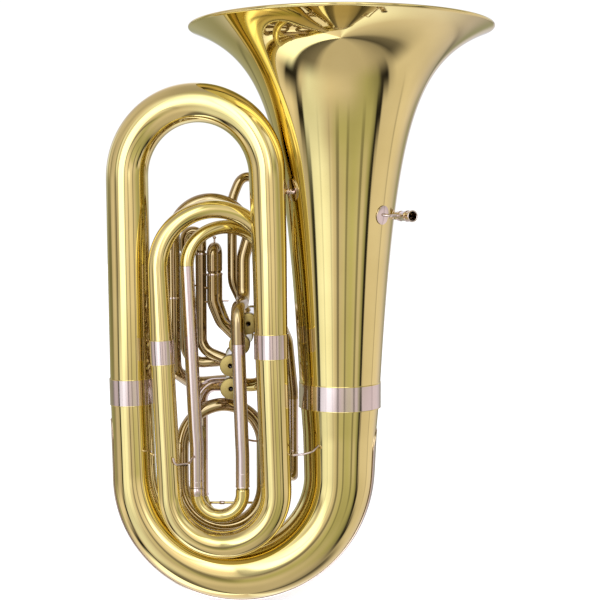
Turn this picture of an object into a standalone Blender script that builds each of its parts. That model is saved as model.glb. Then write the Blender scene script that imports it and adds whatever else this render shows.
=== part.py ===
"""Front-action four-piston contrabass tuba, built from separate tubes, valves and slides.

Metres, +Z up. The player is on the -Y side and the finger buttons are on the +Y side.
The bell's axis is vertical, in the plane y = 0, and the bottom of the guard is at z = 0.
"""
import math

import bmesh
import bpy
from mathutils import Matrix, Vector

MM = 0.001
GAP = 0.3 * MM
JOINT_GAP = 1.2 * MM

# Bell: axis, rim and the law of its flare.
BELL_X = 68 * MM
RIM_Z = 975 * MM
RIM_RADIUS = 254 * MM
BELL_FOOT_Z = 360 * MM
BELL_WALL = 1.4 * MM
RIM_BEAD = 5 * MM
RIM_LIP = 1.5 * MM
RIM_BLEND = 60 * MM
BELL_CLEARANCE = 0.6 * MM
BELL_FERRULE_LIFT = 2.2 * MM
BELL_FERRULE_TOP = 19 * MM
BELL_FERRULE_FOOT = -22 * MM
BELL_SIDES = 28
BELL_ROWS = 12
BELL_FLANK_ROW = 4
FLARE_BASE = 44.5 * MM
FLARE_GAIN = 4370.0
FLARE_SHIFT = 58.0
FLARE_POWER = 0.75
FLARE_TAPER = 0.0153

# Walls of the tubes and sleeves.
BOW_WALL = 1.3 * MM
TUBE_WALL = 0.9 * MM
FERRULE_WALL = 1.1 * MM
GUARD_WALL = 1.2 * MM
GUARD_LIFT = 0.5 * MM
GUARD_REACH = math.sin(math.radians(32))

# Valve cluster: axes run along Y.
VALVES = {
    1: (-87.5 * MM, 479.4 * MM),
    2: (-102.7 * MM, 443.5 * MM),
    3: (-118.1 * MM, 407.7 * MM),
    4: (-117.6 * MM, 368.4 * MM),
}
CASING_RADIUS = 16.5 * MM
CASING_BORE = 15.6 * MM
CASING_FRONT = -7.7 * MM
CASING_BACK = 150 * MM
CASING_SIDES = 16
CAP_RADIUS = 18 * MM
CAP_FACE = -12 * MM
CAP_PLATE = 4 * MM
CAP_VENT = 3.8 * MM
PORT_RADIUS = 8 * MM
PORTS = (45 * MM, 68 * MM, 91 * MM)
PISTON_RADIUS = 15.2 * MM
PISTON_FRONT = 30 * MM
PISTON_BACK = 120 * MM
STEM_RADIUS = 3.2 * MM
KNUCKLE_RADIUS = 10 * MM
KNUCKLE_PASSAGE = 30 * MM
SPRING_RADIUS = 11 * MM
SPRING_WIRE = 0.7 * MM
SPRING_TURNS = 4
BUTTON_Y = 178 * MM
BUTTON_RADIUS = 11 * MM

# Mouthpiece receiver, and the plates that hold braces on the bell.
RECEIVER_LENGTH = 46 * MM
PLATE_RADIUS = 15 * MM
PLATE_DEPTH = 2 * MM
PLATE_LIFT = 2.8 * MM

# Facets round the tubes.
BOW_SIDES = 16
MID_SIDES = 12
SMALL_SIDES = 8
TURN_STEPS = 8
BEND_STEPS = 4

# Slides: the moving leg's outer radius inside the fixed sleeve.
SLEEVE_RADIUS = 11.7 * MM
INNER_LEG = 9.7 * MM
SMALL_SLEEVE = 9.6 * MM
SMALL_INNER = 7.6 * MM
SMALL_INSIDE = 45 * MM
SHOULDER_GAP = 2 * MM
SHOULDER_STEP = 1.4 * MM

# Main tuning slide, its brace rod and its water key.
MAIN_SLIDE_LEFT = -174 * MM
MAIN_SLIDE_RIGHT = -65 * MM
MAIN_SLIDE_Y = 60 * MM
MAIN_SLEEVE_END = 168 * MM
MAIN_LEG_INSIDE = 70 * MM
MAIN_BEND_Z = 172 * MM
MAIN_ROD_Z = 154.5 * MM
MAIN_ROD_HALF = 45 * MM
MAIN_ROD_RADIUS = 2.2 * MM
KEY_OUT = 14.5 * MM
KEY_LIFT = 12 * MM
EAR_SPREAD = 5 * MM
EAR_FOOT = 6 * MM
EAR_TIP = 17 * MM

# Fourth valve's circuit: the bow of its return tube, and its slide's legs and bend.
RETURN_RISE = 61.5 * MM
FOURTH_LEFT = -174.5 * MM
FOURTH_RIGHT = -97 * MM
FOURTH_Y = -32 * MM
FOURTH_SLEEVE_END = 204 * MM
FOURTH_LEG_TOP = 262 * MM
FOURTH_BEND_Z = 193.4 * MM


def at(x, y, z):
    """A point given in millimetres."""
    return Vector((x, y, z)) * MM


def clear_scene():
    for obj in list(bpy.data.objects):
        bpy.data.objects.remove(obj, do_unlink=True)


def new_collection(name):
    collection = bpy.data.collections.new(name)
    bpy.context.scene.collection.children.link(collection)
    return collection


clear_scene()
PARTS = new_collection("tuba")
CUTTERS = new_collection("cutters")


# ---------------------------------------------------------------- materials
def material(name, color, roughness, metallic):
    mat = bpy.data.materials.new(name)
    mat.use_nodes = True
    shader = mat.node_tree.nodes["Principled BSDF"]
    shader.inputs["Base Color"].default_value = (*color, 1)
    shader.inputs["Roughness"].default_value = roughness
    shader.inputs["Metallic"].default_value = metallic
    return mat


BRASS = material("lacquered_brass", (0.80, 0.66, 0.27), 0.12, 1.0)
NICKEL = material("nickel_silver", (0.78, 0.67, 0.60), 0.18, 1.0)
CAP_BRASS = material("cap_brass", (0.60, 0.53, 0.26), 0.45, 1.0)
STEEL = material("spring_steel", (0.55, 0.55, 0.56), 0.3, 1.0)
PEARL = material("pearl", (0.92, 0.91, 0.86), 0.2, 0.0)


# ---------------------------------------------------------------- small tools
def place(obj, mat, cutter=False):
    for owner in list(obj.users_collection):
        owner.objects.unlink(obj)
    (CUTTERS if cutter else PARTS).objects.link(obj)
    if cutter:
        obj.hide_render = True
        obj.display_type = "WIRE"
    obj.data.materials.clear()
    obj.data.materials.append(mat)
    return obj


def smooth(obj, angle=35):
    obj.data.shade_smooth()
    obj.data.set_sharp_from_angle(angle=math.radians(angle))
    return obj


def set_origin(obj, point):
    """Moves the origin to a point and keeps the shape where it is."""
    obj.data.transform(Matrix.Translation(-Vector(point)))
    obj.location = point
    return obj


def boolean(obj, tool, operation):
    mod = obj.modifiers.new(operation.lower(), "BOOLEAN")
    mod.operation = operation
    mod.solver = "EXACT"
    mod.object = tool
    return obj


def curve_mesh(name, stations, sides, capped):
    """A round tube surface or bar along stations, each a point and a radius."""
    curve = bpy.data.curves.new(name, "CURVE")
    curve.dimensions = "3D"
    curve.bevel_depth = 1.0
    curve.bevel_resolution = (sides - 4) // 2
    curve.use_fill_caps = capped
    spline = curve.splines.new("POLY")
    spline.points.add(len(stations) - 1)
    for point, (place_at, radius) in zip(spline.points, stations):
        point.co = (*place_at, 1)
        point.radius = radius
    guide = bpy.data.objects.new(name + "_curve", curve)
    bpy.context.scene.collection.objects.link(guide)
    bpy.context.view_layer.update()
    evaluated = guide.evaluated_get(bpy.context.evaluated_depsgraph_get())
    mesh = bpy.data.meshes.new_from_object(evaluated)
    bpy.data.objects.remove(guide, do_unlink=True)
    bm = bmesh.new()
    bm.from_mesh(mesh)
    bmesh.ops.remove_doubles(bm, verts=bm.verts, dist=0.00001)
    if capped:
        bmesh.ops.recalc_face_normals(bm, faces=bm.faces)
    bm.to_mesh(mesh)
    bm.free()
    return mesh


def tube(name, stations, wall, sides, mat, cutter=False):
    """A hollow tube, open at both ends, its outer surface on the stations' radii."""
    obj = bpy.data.objects.new(name, curve_mesh(name, stations, sides, False))
    place(obj, mat, cutter)
    shell = obj.modifiers.new("wall", "SOLIDIFY")
    shell.thickness = wall
    shell.offset = -1
    shell.use_even_offset = True
    return smooth(obj)


def bar(name, stations, sides, mat, cutter=False):
    """A solid round bar or wire."""
    obj = bpy.data.objects.new(name, curve_mesh(name, stations, sides, True))
    place(obj, mat, cutter)
    return smooth(obj)


def rod(name, start, end, radius, sides, mat, cutter=False):
    return bar(name, [(start, radius), (end, radius)], sides, mat, cutter)


def turned(name, profile, center, axis, steps, mat, cutter=False):
    """A closed profile of (radius, height) pairs turned about an axis through center."""
    mesh = bpy.data.meshes.new(name)
    bm = bmesh.new()
    verts = [bm.verts.new((radius, 0, height)) for radius, height in profile]
    for first, second in zip(verts, verts[1:] + verts[:1]):
        bm.edges.new((first, second))
    bm.to_mesh(mesh)
    bm.free()
    obj = bpy.data.objects.new(name, mesh)
    place(obj, mat, cutter)
    screw = obj.modifiers.new("turn", "SCREW")
    screw.steps = steps
    screw.render_steps = steps
    screw.use_merge_vertices = True
    screw.merge_threshold = 0.00001
    obj.location = center
    obj.rotation_euler = Vector((0, 0, 1)).rotation_difference(Vector(axis)).to_euler()
    return obj


# ---------------------------------------------------------------- centrelines
def fillet(corners, bend, steps):
    """Stations along straight runs whose corners are rounded to the bend radius."""
    out = [corners[0]]
    for index in range(1, len(corners) - 1):
        before, here, after = corners[index - 1], corners[index], corners[index + 1]
        point, radius = here
        to_before = before[0] - point
        to_after = after[0] - point
        turn = math.pi - to_before.angle(to_after)
        if turn < 0.03:
            out.append(here)
            continue
        reach = bend * math.tan(turn / 2)
        reach = min(reach, 0.48 * to_before.length, 0.48 * to_after.length)
        start = point + to_before.normalized() * reach
        end = point + to_after.normalized() * reach
        real_bend = reach / math.tan(turn / 2)
        middle = (start + end) / 2 - point
        center = point + middle.normalized() * (real_bend / math.cos(turn / 2))
        arm_a = start - center
        arm_b = end - center
        count = max(2, math.ceil(steps * turn / math.pi))
        for step in range(count + 1):
            share = step / count
            near = math.sin((1 - share) * turn)
            far = math.sin(share * turn)
            out.append((center + (arm_a * near + arm_b * far) / math.sin(turn), radius))
    out.append(corners[-1])
    return out


def half_turn(start, end, first_radius, last_radius, up, steps, height=None):
    """Stations of a half circle, or of a half ellipse of a given height, in the upright plane of its ends."""
    rise = Vector((0, 0, up * (height or (end - start).length / 2)))
    out = []
    for step in range(steps + 1):
        share = step / steps
        angle = math.pi * share
        eased = (1 - math.cos(angle)) / 2
        radius = first_radius + (last_radius - first_radius) * share
        flat = start + (end - start) * eased
        out.append((flat + rise * math.sin(angle), radius))
    return out


def station(x, y, z, radius):
    return (at(x, y, z), radius * MM)


def port_start(number, port):
    """The centre of a valve at the depth of one of its ports."""
    x, z = VALVES[number]
    return Vector((x, PORTS[port], z))


# ---------------------------------------------------------------- bell
def flare(depth):
    """The bell's outer radius at a depth below the rim, in metres."""
    spread = FLARE_GAIN * MM / (depth / MM + FLARE_SHIFT) ** FLARE_POWER
    return FLARE_BASE - FLARE_TAPER * depth + spread


def bell_depth(row):
    """Depth of a row of the bell below the rim: rows are closer together near the rim."""
    return RIM_BEAD + (RIM_Z - BELL_FOOT_Z - RIM_BEAD) * (row / BELL_ROWS) ** 2


def make_bell():
    depths = [bell_depth(row) for row in range(BELL_ROWS + 1)]
    scale = (RIM_RADIUS - RIM_LIP) / flare(depths[0])
    blend = [(scale - 1) * math.exp(-d / RIM_BLEND) + 1 for d in depths]
    outer = [(flare(d) * b, -d) for d, b in zip(depths, blend)]
    inner = [(radius - BELL_WALL, height) for radius, height in reversed(outer)]
    rim = [(RIM_RADIUS - RIM_BEAD, 0), (RIM_RADIUS, 0), (RIM_RADIUS, -RIM_BEAD)]
    turned("bell", rim + outer + inner, (BELL_X, 0, RIM_Z), (0, 0, 1), BELL_SIDES, BRASS)
    foot = outer[-1][0]
    inner_face = (foot + BELL_FERRULE_LIFT) / math.cos(math.pi / BELL_SIDES)
    outer_face = inner_face + FERRULE_WALL
    section = [(outer_face, BELL_FERRULE_TOP), (outer_face, BELL_FERRULE_FOOT),
               (inner_face, BELL_FERRULE_FOOT), (inner_face, BELL_FERRULE_TOP)]
    turned("bell_ferrule", section, (BELL_X, 0, BELL_FOOT_Z), (0, 0, 1), BELL_SIDES, NICKEL)
    return foot


def make_bell_space():
    """The space inside and just outside the bell, kept clear by what is soldered to it."""
    depths = [bell_depth(row) for row in range(BELL_FLANK_ROW, BELL_ROWS + 1)]
    outer = [(flare(depth) + BELL_CLEARANCE, -depth) for depth in depths]
    profile = outer + [(1 * MM, outer[-1][1]), (1 * MM, outer[0][1])]
    return turned("bell_space", profile, (BELL_X, 0, RIM_Z), (0, 0, 1), BELL_SIDES, BRASS, True)


# ---------------------------------------------------------------- large bows
def ferrule(name, low, high, tube_radius, sides):
    """A sleeve round a joint between two tubes, from low to high along their axis."""
    inner = (tube_radius + 0.4 * MM) / math.cos(math.pi / sides)
    radius = inner + FERRULE_WALL
    return tube(name, [(low, radius), (high, radius)], FERRULE_WALL, sides, NICKEL)


def bottom_bow_stations(bell_foot):
    stations = [(Vector((BELL_X, 0, BELL_FOOT_Z - JOINT_GAP)), bell_foot)]
    stations.append(station(67.6, 0, 290, 62.5))
    stations += half_turn(at(67, 0, 225.5), at(-282, -10, 225.5), 60 * MM, 36 * MM, -1, 14)
    stations.append(station(-286.2, -10, 364.2, 35.3))
    return stations


def make_guard(stations):
    """A strip along the bottom bow's outer side, a little proud of it."""
    span = stations[1:-1] + [station(-284.9, -10, 322, 35.6)]
    raised = [(point, radius + GUARD_LIFT) for point, radius in span]
    mesh = curve_mesh("bottom_bow_guard", raised, BOW_SIDES, False)
    bm = bmesh.new()
    bm.from_mesh(mesh)
    bow_center = at(-107.5, -5, 225.5)
    unwanted = []
    for face in bm.faces:
        away = face.calc_center_median() - bow_center
        away.y = 0
        away.z = min(away.z, 0)
        inner_side = face.normal.dot(away) < 0
        if inner_side or abs(face.normal.y) > GUARD_REACH:
            unwanted.append(face)
    bmesh.ops.delete(bm, geom=unwanted, context="FACES")
    bm.to_mesh(mesh)
    bm.free()
    obj = bpy.data.objects.new("bottom_bow_guard", mesh)
    place(obj, NICKEL)
    shell = obj.modifiers.new("wall", "SOLIDIFY")
    shell.thickness = GUARD_WALL
    shell.offset = 1
    shell.use_even_offset = True
    return smooth(obj)


def make_bows(bell_foot):
    bottom = bottom_bow_stations(bell_foot)
    tube("bottom_bow", bottom, BOW_WALL, BOW_SIDES, BRASS)
    make_guard(bottom)

    ferrule("outer_ferrule", at(-285.8, -10, 344), at(-286.7, -10, 387), 35.5 * MM, BOW_SIDES)
    top = [station(-286.2, -10, 365.3, 35.3), station(-288.6, -12, 640, 35.3)]
    top += half_turn(at(-289, -14, 727.6), at(-53.6, -63, 727.6), 35.2 * MM, 29.8 * MM, 1, 12)
    top += [station(-50.3, -60, 606, 28.6), station(-47.6, -58, 448, 27.2)]
    tube("top_bow", top, BOW_WALL, MID_SIDES, BRASS)

    ferrule("second_ferrule", at(-47.3, -58, 427), at(-47.9, -58, 467), 27.6 * MM, BOW_SIDES)
    second = [station(-47.6, -58, 447, 27.2)]
    second += half_turn(at(-39.5, -58, 201.5), at(-217.4, -58, 201.5), 25.6 * MM, 20 * MM, -1, 10)
    second.append(station(-228.2, -58, 437, 19.2))
    tube("second_bottom_bow", second, BOW_WALL, MID_SIDES, BRASS)

    ferrule("third_ferrule", at(-227.3, -58, 417), at(-229.1, -58, 457), 19.5 * MM, BOW_SIDES)
    upper = [station(-228.3, -58, 437.3, 19.2)]
    upper += half_turn(at(-234.2, -58, 577.7), at(-49.5, -9, 577.7), 16.4 * MM, 14 * MM, 1, 10)
    upper.append(station(-52, -9, 455.3, 13.6))
    tube("second_top_bow", upper, TUBE_WALL, MID_SIDES, BRASS)

    ferrule("fourth_ferrule", at(-51.8, -9, 440), at(-52.1, -9, 470), 14.5 * MM, MID_SIDES)
    third = [station(-52, -9, 455, 13.6)]
    third += half_turn(at(-61, -7, 200.7), at(-205, 22, 200.7), 13 * MM, 12.2 * MM, -1, TURN_STEPS)
    third.append(station(-205, 23, 230, 12))
    tube("third_bottom_bow", third, TUBE_WALL, SMALL_SIDES, BRASS)


# ---------------------------------------------------------------- main tuning slide
def make_main_slide():
    left_x, right_x, depth = MAIN_SLIDE_LEFT, MAIN_SLIDE_RIGHT, MAIN_SLIDE_Y
    leg, full = INNER_LEG, SLEEVE_RADIUS
    right_top = Vector((right_x, depth, 261 * MM))
    arch = [station(-205, 23.4, 231.2, 12)]
    arch += half_turn(at(-205, 26, 261), right_top, 11.9 * MM, full, 1, TURN_STEPS)
    arch.append((right_top - at(0, 0, 3), full))
    tube("tuning_arch", arch, TUBE_WALL, SMALL_SIDES, BRASS)
    right = [(right_top - at(0, 0, 3.3), full), (Vector((right_x, depth, MAIN_SLEEVE_END)), full)]
    tube("main_slide_sleeve_right", right, TUBE_WALL, SMALL_SIDES, NICKEL)

    left = [(port_start(4, 0), full), (Vector((left_x, depth, 364 * MM)), full),
            (Vector((left_x, depth, MAIN_SLEEVE_END)), full)]
    sleeve = tube("main_slide_sleeve_left", fillet(left, 28 * MM, 10), TUBE_WALL, SMALL_SIDES, NICKEL)
    boolean(sleeve, CASING_CUTTERS[4], "DIFFERENCE")

    shoulder = MAIN_SLEEVE_END - SHOULDER_GAP
    legs = []
    for x in (left_x, right_x):
        legs.append([(Vector((x, depth, MAIN_SLEEVE_END + MAIN_LEG_INSIDE)), leg),
                     (Vector((x, depth, shoulder)), leg),
                     (Vector((x, depth, shoulder - SHOULDER_STEP)), full)])
    bend_left = Vector((left_x, depth, MAIN_BEND_Z))
    bend_right = Vector((right_x, depth, MAIN_BEND_Z))
    bend = half_turn(bend_left, bend_right, full, full, -1, TURN_STEPS)
    route = legs[0] + bend[1:-1] + list(reversed(legs[1]))
    main_slide = tube("main_tuning_slide", route, TUBE_WALL, SMALL_SIDES, BRASS)
    center = (bend_left + bend_right) / 2
    half = MAIN_ROD_HALF
    brace = rod("main_slide_rod", Vector((center.x - half, depth, MAIN_ROD_Z)),
                Vector((center.x + half, depth, MAIN_ROD_Z)), MAIN_ROD_RADIUS, 8, BRASS, True)
    boolean(main_slide, brace, "UNION")

    pivot = center + Vector((0, KEY_OUT, KEY_LIFT - (bend_right.x - bend_left.x) / 2 - full))
    for side in (-1, 1):
        foot = pivot + Vector((side * EAR_SPREAD, EAR_FOOT - KEY_OUT, 0))
        tip = pivot + Vector((side * EAR_SPREAD, EAR_TIP - KEY_OUT, 0))
        ear = rod("water_key_ear_%d" % side, foot, tip, 2 * MM, 8, BRASS, True)
        boolean(main_slide, ear, "UNION")
    set_origin(main_slide, center)

    key = rod("water_key", pivot - at(2.4, 0, 0), pivot + at(2.4, 0, 0), 1.8 * MM, 10, NICKEL)
    lever_path = [(pivot + at(0, 3.2, 24), 2 * MM), (pivot + at(0, 1, 4), 1.3 * MM),
                  (pivot + at(0, 0, -4), 1.3 * MM), (pivot + at(0, -1.5, -10.5), 1.6 * MM)]
    lever = bar("water_key_lever", lever_path, 8, NICKEL, True)
    boolean(key, lever, "UNION")
    set_origin(key, pivot)


# ---------------------------------------------------------------- valves
def knuckle_ends(number):
    """Centres of this valve and the next, and the depth of the tube that joins them."""
    here, after = VALVES[number], VALVES[number + 1]
    depth = PORTS[(number + 1) % 3]
    return Vector((here[0], depth, here[1])), Vector((after[0], depth, after[1]))


def make_casing_cutters():
    cutters = {}
    for number, (x, z) in VALVES.items():
        front = Vector((x, CASING_FRONT - 10 * MM, z))
        back = Vector((x, CASING_BACK + 10 * MM, z))
        reach = (CASING_RADIUS + GAP) / math.cos(math.pi / CASING_SIDES)
        cutters[number] = rod("casing_space_%d" % number, front, back, reach, CASING_SIDES, BRASS, True)
    return cutters


def make_valve(number):
    x, z = VALVES[number]
    front = Vector((x, CASING_FRONT, z))
    back = Vector((x, CASING_BACK, z))
    axis = (0, 1, 0)
    casing = rod("valve_casing_%d" % number, front, back, CASING_RADIUS, CASING_SIDES, BRASS)
    if number < 4:
        start, end = knuckle_ends(number)
        along = (end - start).normalized()
        reach = (end - start).length - CASING_RADIUS - 0.8 * MM
        knuckle = rod("knuckle_%d" % number, start, start + along * reach, KNUCKLE_RADIUS, 12, NICKEL, True)
        boolean(casing, knuckle, "UNION")
    beyond = 5 * MM
    bore = rod("casing_bore_%d" % number, front - Vector((0, beyond, 0)), back + Vector((0, beyond, 0)),
               CASING_BORE, CASING_SIDES, BRASS, True)
    boolean(casing, bore, "DIFFERENCE")
    if number < 4:
        inlet = start + along * KNUCKLE_PASSAGE
        passage = rod("knuckle_bore_%d" % number, start, inlet, PORT_RADIUS, 10, BRASS, True)
        boolean(casing, passage, "DIFFERENCE")

    inner = CASING_RADIUS + 0.5 * MM
    low_cap = [(CAP_RADIUS, 18 * MM), (CAP_RADIUS, 1 * MM), (CAP_RADIUS - 1 * MM, 0), (CAP_VENT, 0),
               (CAP_VENT, CAP_PLATE), (inner, CAP_PLATE), (inner, 18 * MM)]
    turned("bottom_cap_%d" % number, low_cap, (x, CAP_FACE, z), axis, CASING_SIDES, CAP_BRASS)
    top_cap = [(CAP_RADIUS, 3.5 * MM), (CAP_RADIUS, -12 * MM), (inner, -12 * MM), (inner, 0),
               (STEM_RADIUS + 0.6 * MM, 0), (STEM_RADIUS + 0.6 * MM, 4.5 * MM),
               (CAP_RADIUS - 1 * MM, 4.5 * MM)]
    turned("top_cap_%d" % number, top_cap, (x, CASING_BACK + GAP, z), axis, CASING_SIDES, CAP_BRASS)

    piston = rod("piston_%d" % number, Vector((x, PISTON_FRONT, z)), Vector((x, PISTON_BACK, z)),
                 PISTON_RADIUS, CASING_SIDES, NICKEL)
    stem = rod("stem_%d" % number, Vector((x, PISTON_BACK - 2 * MM, z)), Vector((x, BUTTON_Y, z)),
               STEM_RADIUS, 10, NICKEL, True)
    boolean(piston, stem, "UNION")
    half = Vector((20 * MM, 0, 0))
    for port in PORTS:
        middle = Vector((x, port, z))
        hole = rod("piston_%d_port_%d" % (number, round(port / MM)), middle - half, middle + half,
                   PORT_RADIUS, 10, NICKEL, True)
        boolean(piston, hole, "DIFFERENCE")
    set_origin(piston, Vector((x, PISTON_FRONT, z)))

    edge = BUTTON_RADIUS
    button = [(edge, 4 * MM), (edge, 1 * MM), (edge - 2 * MM, 0), (0.1 * MM, 0), (0.1 * MM, 5.5 * MM),
              (edge - 1.5 * MM, 5.5 * MM)]
    turned("finger_button_%d" % number, button, (x, BUTTON_Y + GAP, z), axis, 16, PEARL)

    low = CAP_FACE + CAP_PLATE + SPRING_WIRE + GAP
    high = PISTON_FRONT - SPRING_WIRE - GAP
    coil = []
    steps = SPRING_TURNS * 8
    for step in range(steps + 1):
        angle = 2 * math.pi * SPRING_TURNS * step / steps
        across = Vector((math.cos(angle), 0, math.sin(angle))) * SPRING_RADIUS
        depth = low + (high - low) * step / steps
        coil.append((Vector((x, depth, z)) + across, SPRING_WIRE))
    bar("valve_spring_%d" % number, coil, 4, STEEL)


# ---------------------------------------------------------------- valve circuits
def circuit(name, number, port, corners, radius, sides, mat, bend=30):
    """A fixed tube that leaves a valve port and follows its corners."""
    route = [(port_start(number, port), radius)]
    route += [(corner, radius) for corner in corners]
    obj = tube(name, fillet(route, bend * MM, BEND_STEPS), TUBE_WALL, sides, mat)
    return boolean(obj, CASING_CUTTERS[number], "DIFFERENCE")


def pair(name, number, ports, routes, sides, mat, tie):
    """Two tubes of one circuit, joined by a tie bar."""
    first = circuit(name, number, ports[0], routes[0], SMALL_SLEEVE, sides, mat)
    second = circuit(name + "_second", number, ports[1], routes[1], SMALL_SLEEVE, sides, mat)
    place(second, mat, True)
    boolean(first, rod(name + "_tie", tie[0], tie[1], 1.6 * MM, 8, mat, True), "UNION")
    return boolean(first, second, "UNION")


def slide(name, first, second, sleeve_end, crook_z, up, mat):
    """A U crook whose two thin legs run into fixed sleeves."""
    shoulder = sleeve_end + SHOULDER_GAP * up
    legs = []
    for x, y in (first, second):
        legs.append([(Vector((x, y, sleeve_end - SMALL_INSIDE * up)), SMALL_INNER),
                     (Vector((x, y, shoulder)), SMALL_INNER),
                     (Vector((x, y, shoulder + SHOULDER_STEP * up)), SMALL_SLEEVE)])
    left = Vector((first[0], first[1], crook_z))
    right = Vector((second[0], second[1], crook_z))
    crook = half_turn(left, right, SMALL_SLEEVE, SMALL_SLEEVE, up, BEND_STEPS)
    route = legs[0] + crook + list(reversed(legs[1]))
    obj = tube(name, route, TUBE_WALL, SMALL_SIDES, mat)
    return set_origin(obj, (left + right) / 2)


def make_circuits():
    first_ends = ((-13 * MM, 62 * MM), (-13 * MM, 90 * MM))
    routes = [[at(-40, 62, 483), at(-22, 62, 440), at(-13, 62, 350), at(-13, 62, 246)],
              [at(-40, 90, 483), at(-22, 90, 440), at(-13, 90, 350), at(-13, 90, 246)]]
    tie = (at(-13, 70.3, 300), at(-13, 81.7, 300))
    pair("first_valve_tubes", 1, (1, 2), routes, SMALL_SIDES, NICKEL, tie)
    slide("first_valve_slide", first_ends[0], first_ends[1], 246 * MM, 214 * MM, -1, BRASS)

    second_ends = ((-151 * MM, 36 * MM), (-145 * MM, 60 * MM))
    routes = [[at(-137, 38, 478), at(-151, 36, 512), at(-151, 36, 562)],
              [at(-131, 60, 474), at(-145, 60, 512), at(-145, 60, 562)]]
    tie = (at(-149, 44.2, 535), at(-147, 51.8, 535))
    pair("second_valve_tubes", 2, (0, 1), routes, SMALL_SIDES, BRASS, tie)
    slide("second_valve_slide", second_ends[0], second_ends[1], 562 * MM, 594 * MM, 1, BRASS)

    third_ends = ((-172 * MM, 52 * MM), (-199 * MM, 52 * MM))
    routes = [[at(-172, 52, 428), at(-172, 52, 597)], [at(-199, 52, 404), at(-199, 52, 597)]]
    tie = (at(-180.4, 52, 540), at(-190.7, 52, 540))
    pair("third_valve_tubes", 3, (0, 1), routes, SMALL_SIDES, BRASS, tie)
    slide("third_valve_slide", third_ends[0], third_ends[1], 597 * MM, 620 * MM, 1, BRASS)


def make_fourth_circuit():
    large = 11.5 * MM
    sleeve = SLEEVE_RADIUS
    entry = [(port_start(4, 2), large), (at(-190, 92, 362), large), (at(-217, 40, 392), large),
             (at(-217, 20, 450), large)]
    entry = fillet(entry, 30 * MM, BEND_STEPS)
    entry += half_turn(at(-217, 20, 623.5), at(-88, 42, 623.5), large, large, 1, TURN_STEPS)
    tail = [entry[-1], (at(-98, 42, 590), large), (at(-98, 42, 512), large), (at(-105, -32, 508), large),
            (at(-103.5, -32, 447.3), large)]
    entry += fillet(tail, 22 * MM, BEND_STEPS)[1:]
    obj = tube("fourth_circuit_entry", entry, TUBE_WALL, SMALL_SIDES, BRASS)
    boolean(obj, CASING_CUTTERS[4], "DIFFERENCE")

    right_foot = Vector((FOURTH_RIGHT, FOURTH_Y, FOURTH_SLEEVE_END))
    right = [(at(-103.5, -32, 447), sleeve), (at(-98, -32, 282), sleeve),
             (Vector((FOURTH_RIGHT, FOURTH_Y, FOURTH_LEG_TOP)), sleeve), (right_foot, sleeve)]
    tube("fourth_sleeve_right", right, TUBE_WALL, SMALL_SIDES, NICKEL)
    left_foot = Vector((FOURTH_LEFT, FOURTH_Y, FOURTH_SLEEVE_END))
    left = [(at(-188.5, -32, 578), sleeve), (at(-176, -32, 300), sleeve),
            (Vector((FOURTH_LEFT, FOURTH_Y, 280 * MM)), sleeve), (left_foot, sleeve)]
    tube("fourth_sleeve_left", left, TUBE_WALL, SMALL_SIDES, NICKEL)

    back = half_turn(at(-188.7, -32, 581.7), at(-60, 22, 581.7), sleeve, large, 1, TURN_STEPS, RETURN_RISE)
    back = [(at(-188.6, -32, 578.3), sleeve)] + back
    end = [back[-1], (at(-57, 24, 500), large), (at(-57, 26, 368.4), large), (port_start(4, 0), large)]
    back += fillet(end, 28 * MM, BEND_STEPS)[1:]
    obj = tube("fourth_circuit_return", back, TUBE_WALL, SMALL_SIDES, BRASS)
    boolean(obj, CASING_CUTTERS[4], "DIFFERENCE")

    bend_left = Vector((FOURTH_LEFT, FOURTH_Y, FOURTH_BEND_Z))
    bend_right = Vector((FOURTH_RIGHT, FOURTH_Y, FOURTH_BEND_Z))
    bend = half_turn(bend_left, bend_right, sleeve, sleeve, -1, TURN_STEPS)
    shoulder = FOURTH_SLEEVE_END - SHOULDER_GAP
    legs = []
    for x in (FOURTH_LEFT, FOURTH_RIGHT):
        legs.append([(Vector((x, FOURTH_Y, FOURTH_LEG_TOP - 4 * MM)), INNER_LEG),
                     (Vector((x, FOURTH_Y, shoulder)), INNER_LEG),
                     (Vector((x, FOURTH_Y, shoulder - SHOULDER_STEP)), sleeve)])
    obj = tube("fourth_valve_slide", legs[0] + bend + list(reversed(legs[1])), TUBE_WALL, SMALL_SIDES, BRASS)
    set_origin(obj, (bend_left + bend_right) / 2)


# ---------------------------------------------------------------- leadpipe
def from_axis(point):
    """The level direction from the bell's axis to a point."""
    return Vector((point.x - BELL_X, point.y, 0)).normalized()


def flank_plate(name, center, cutter):
    """A round plate that lies on the bell's side."""
    outward = from_axis(center)
    back, front = center - outward * PLATE_DEPTH, center + outward * PLATE_LIFT
    return rod(name, back, front, PLATE_RADIUS, 16, NICKEL, cutter)


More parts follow.
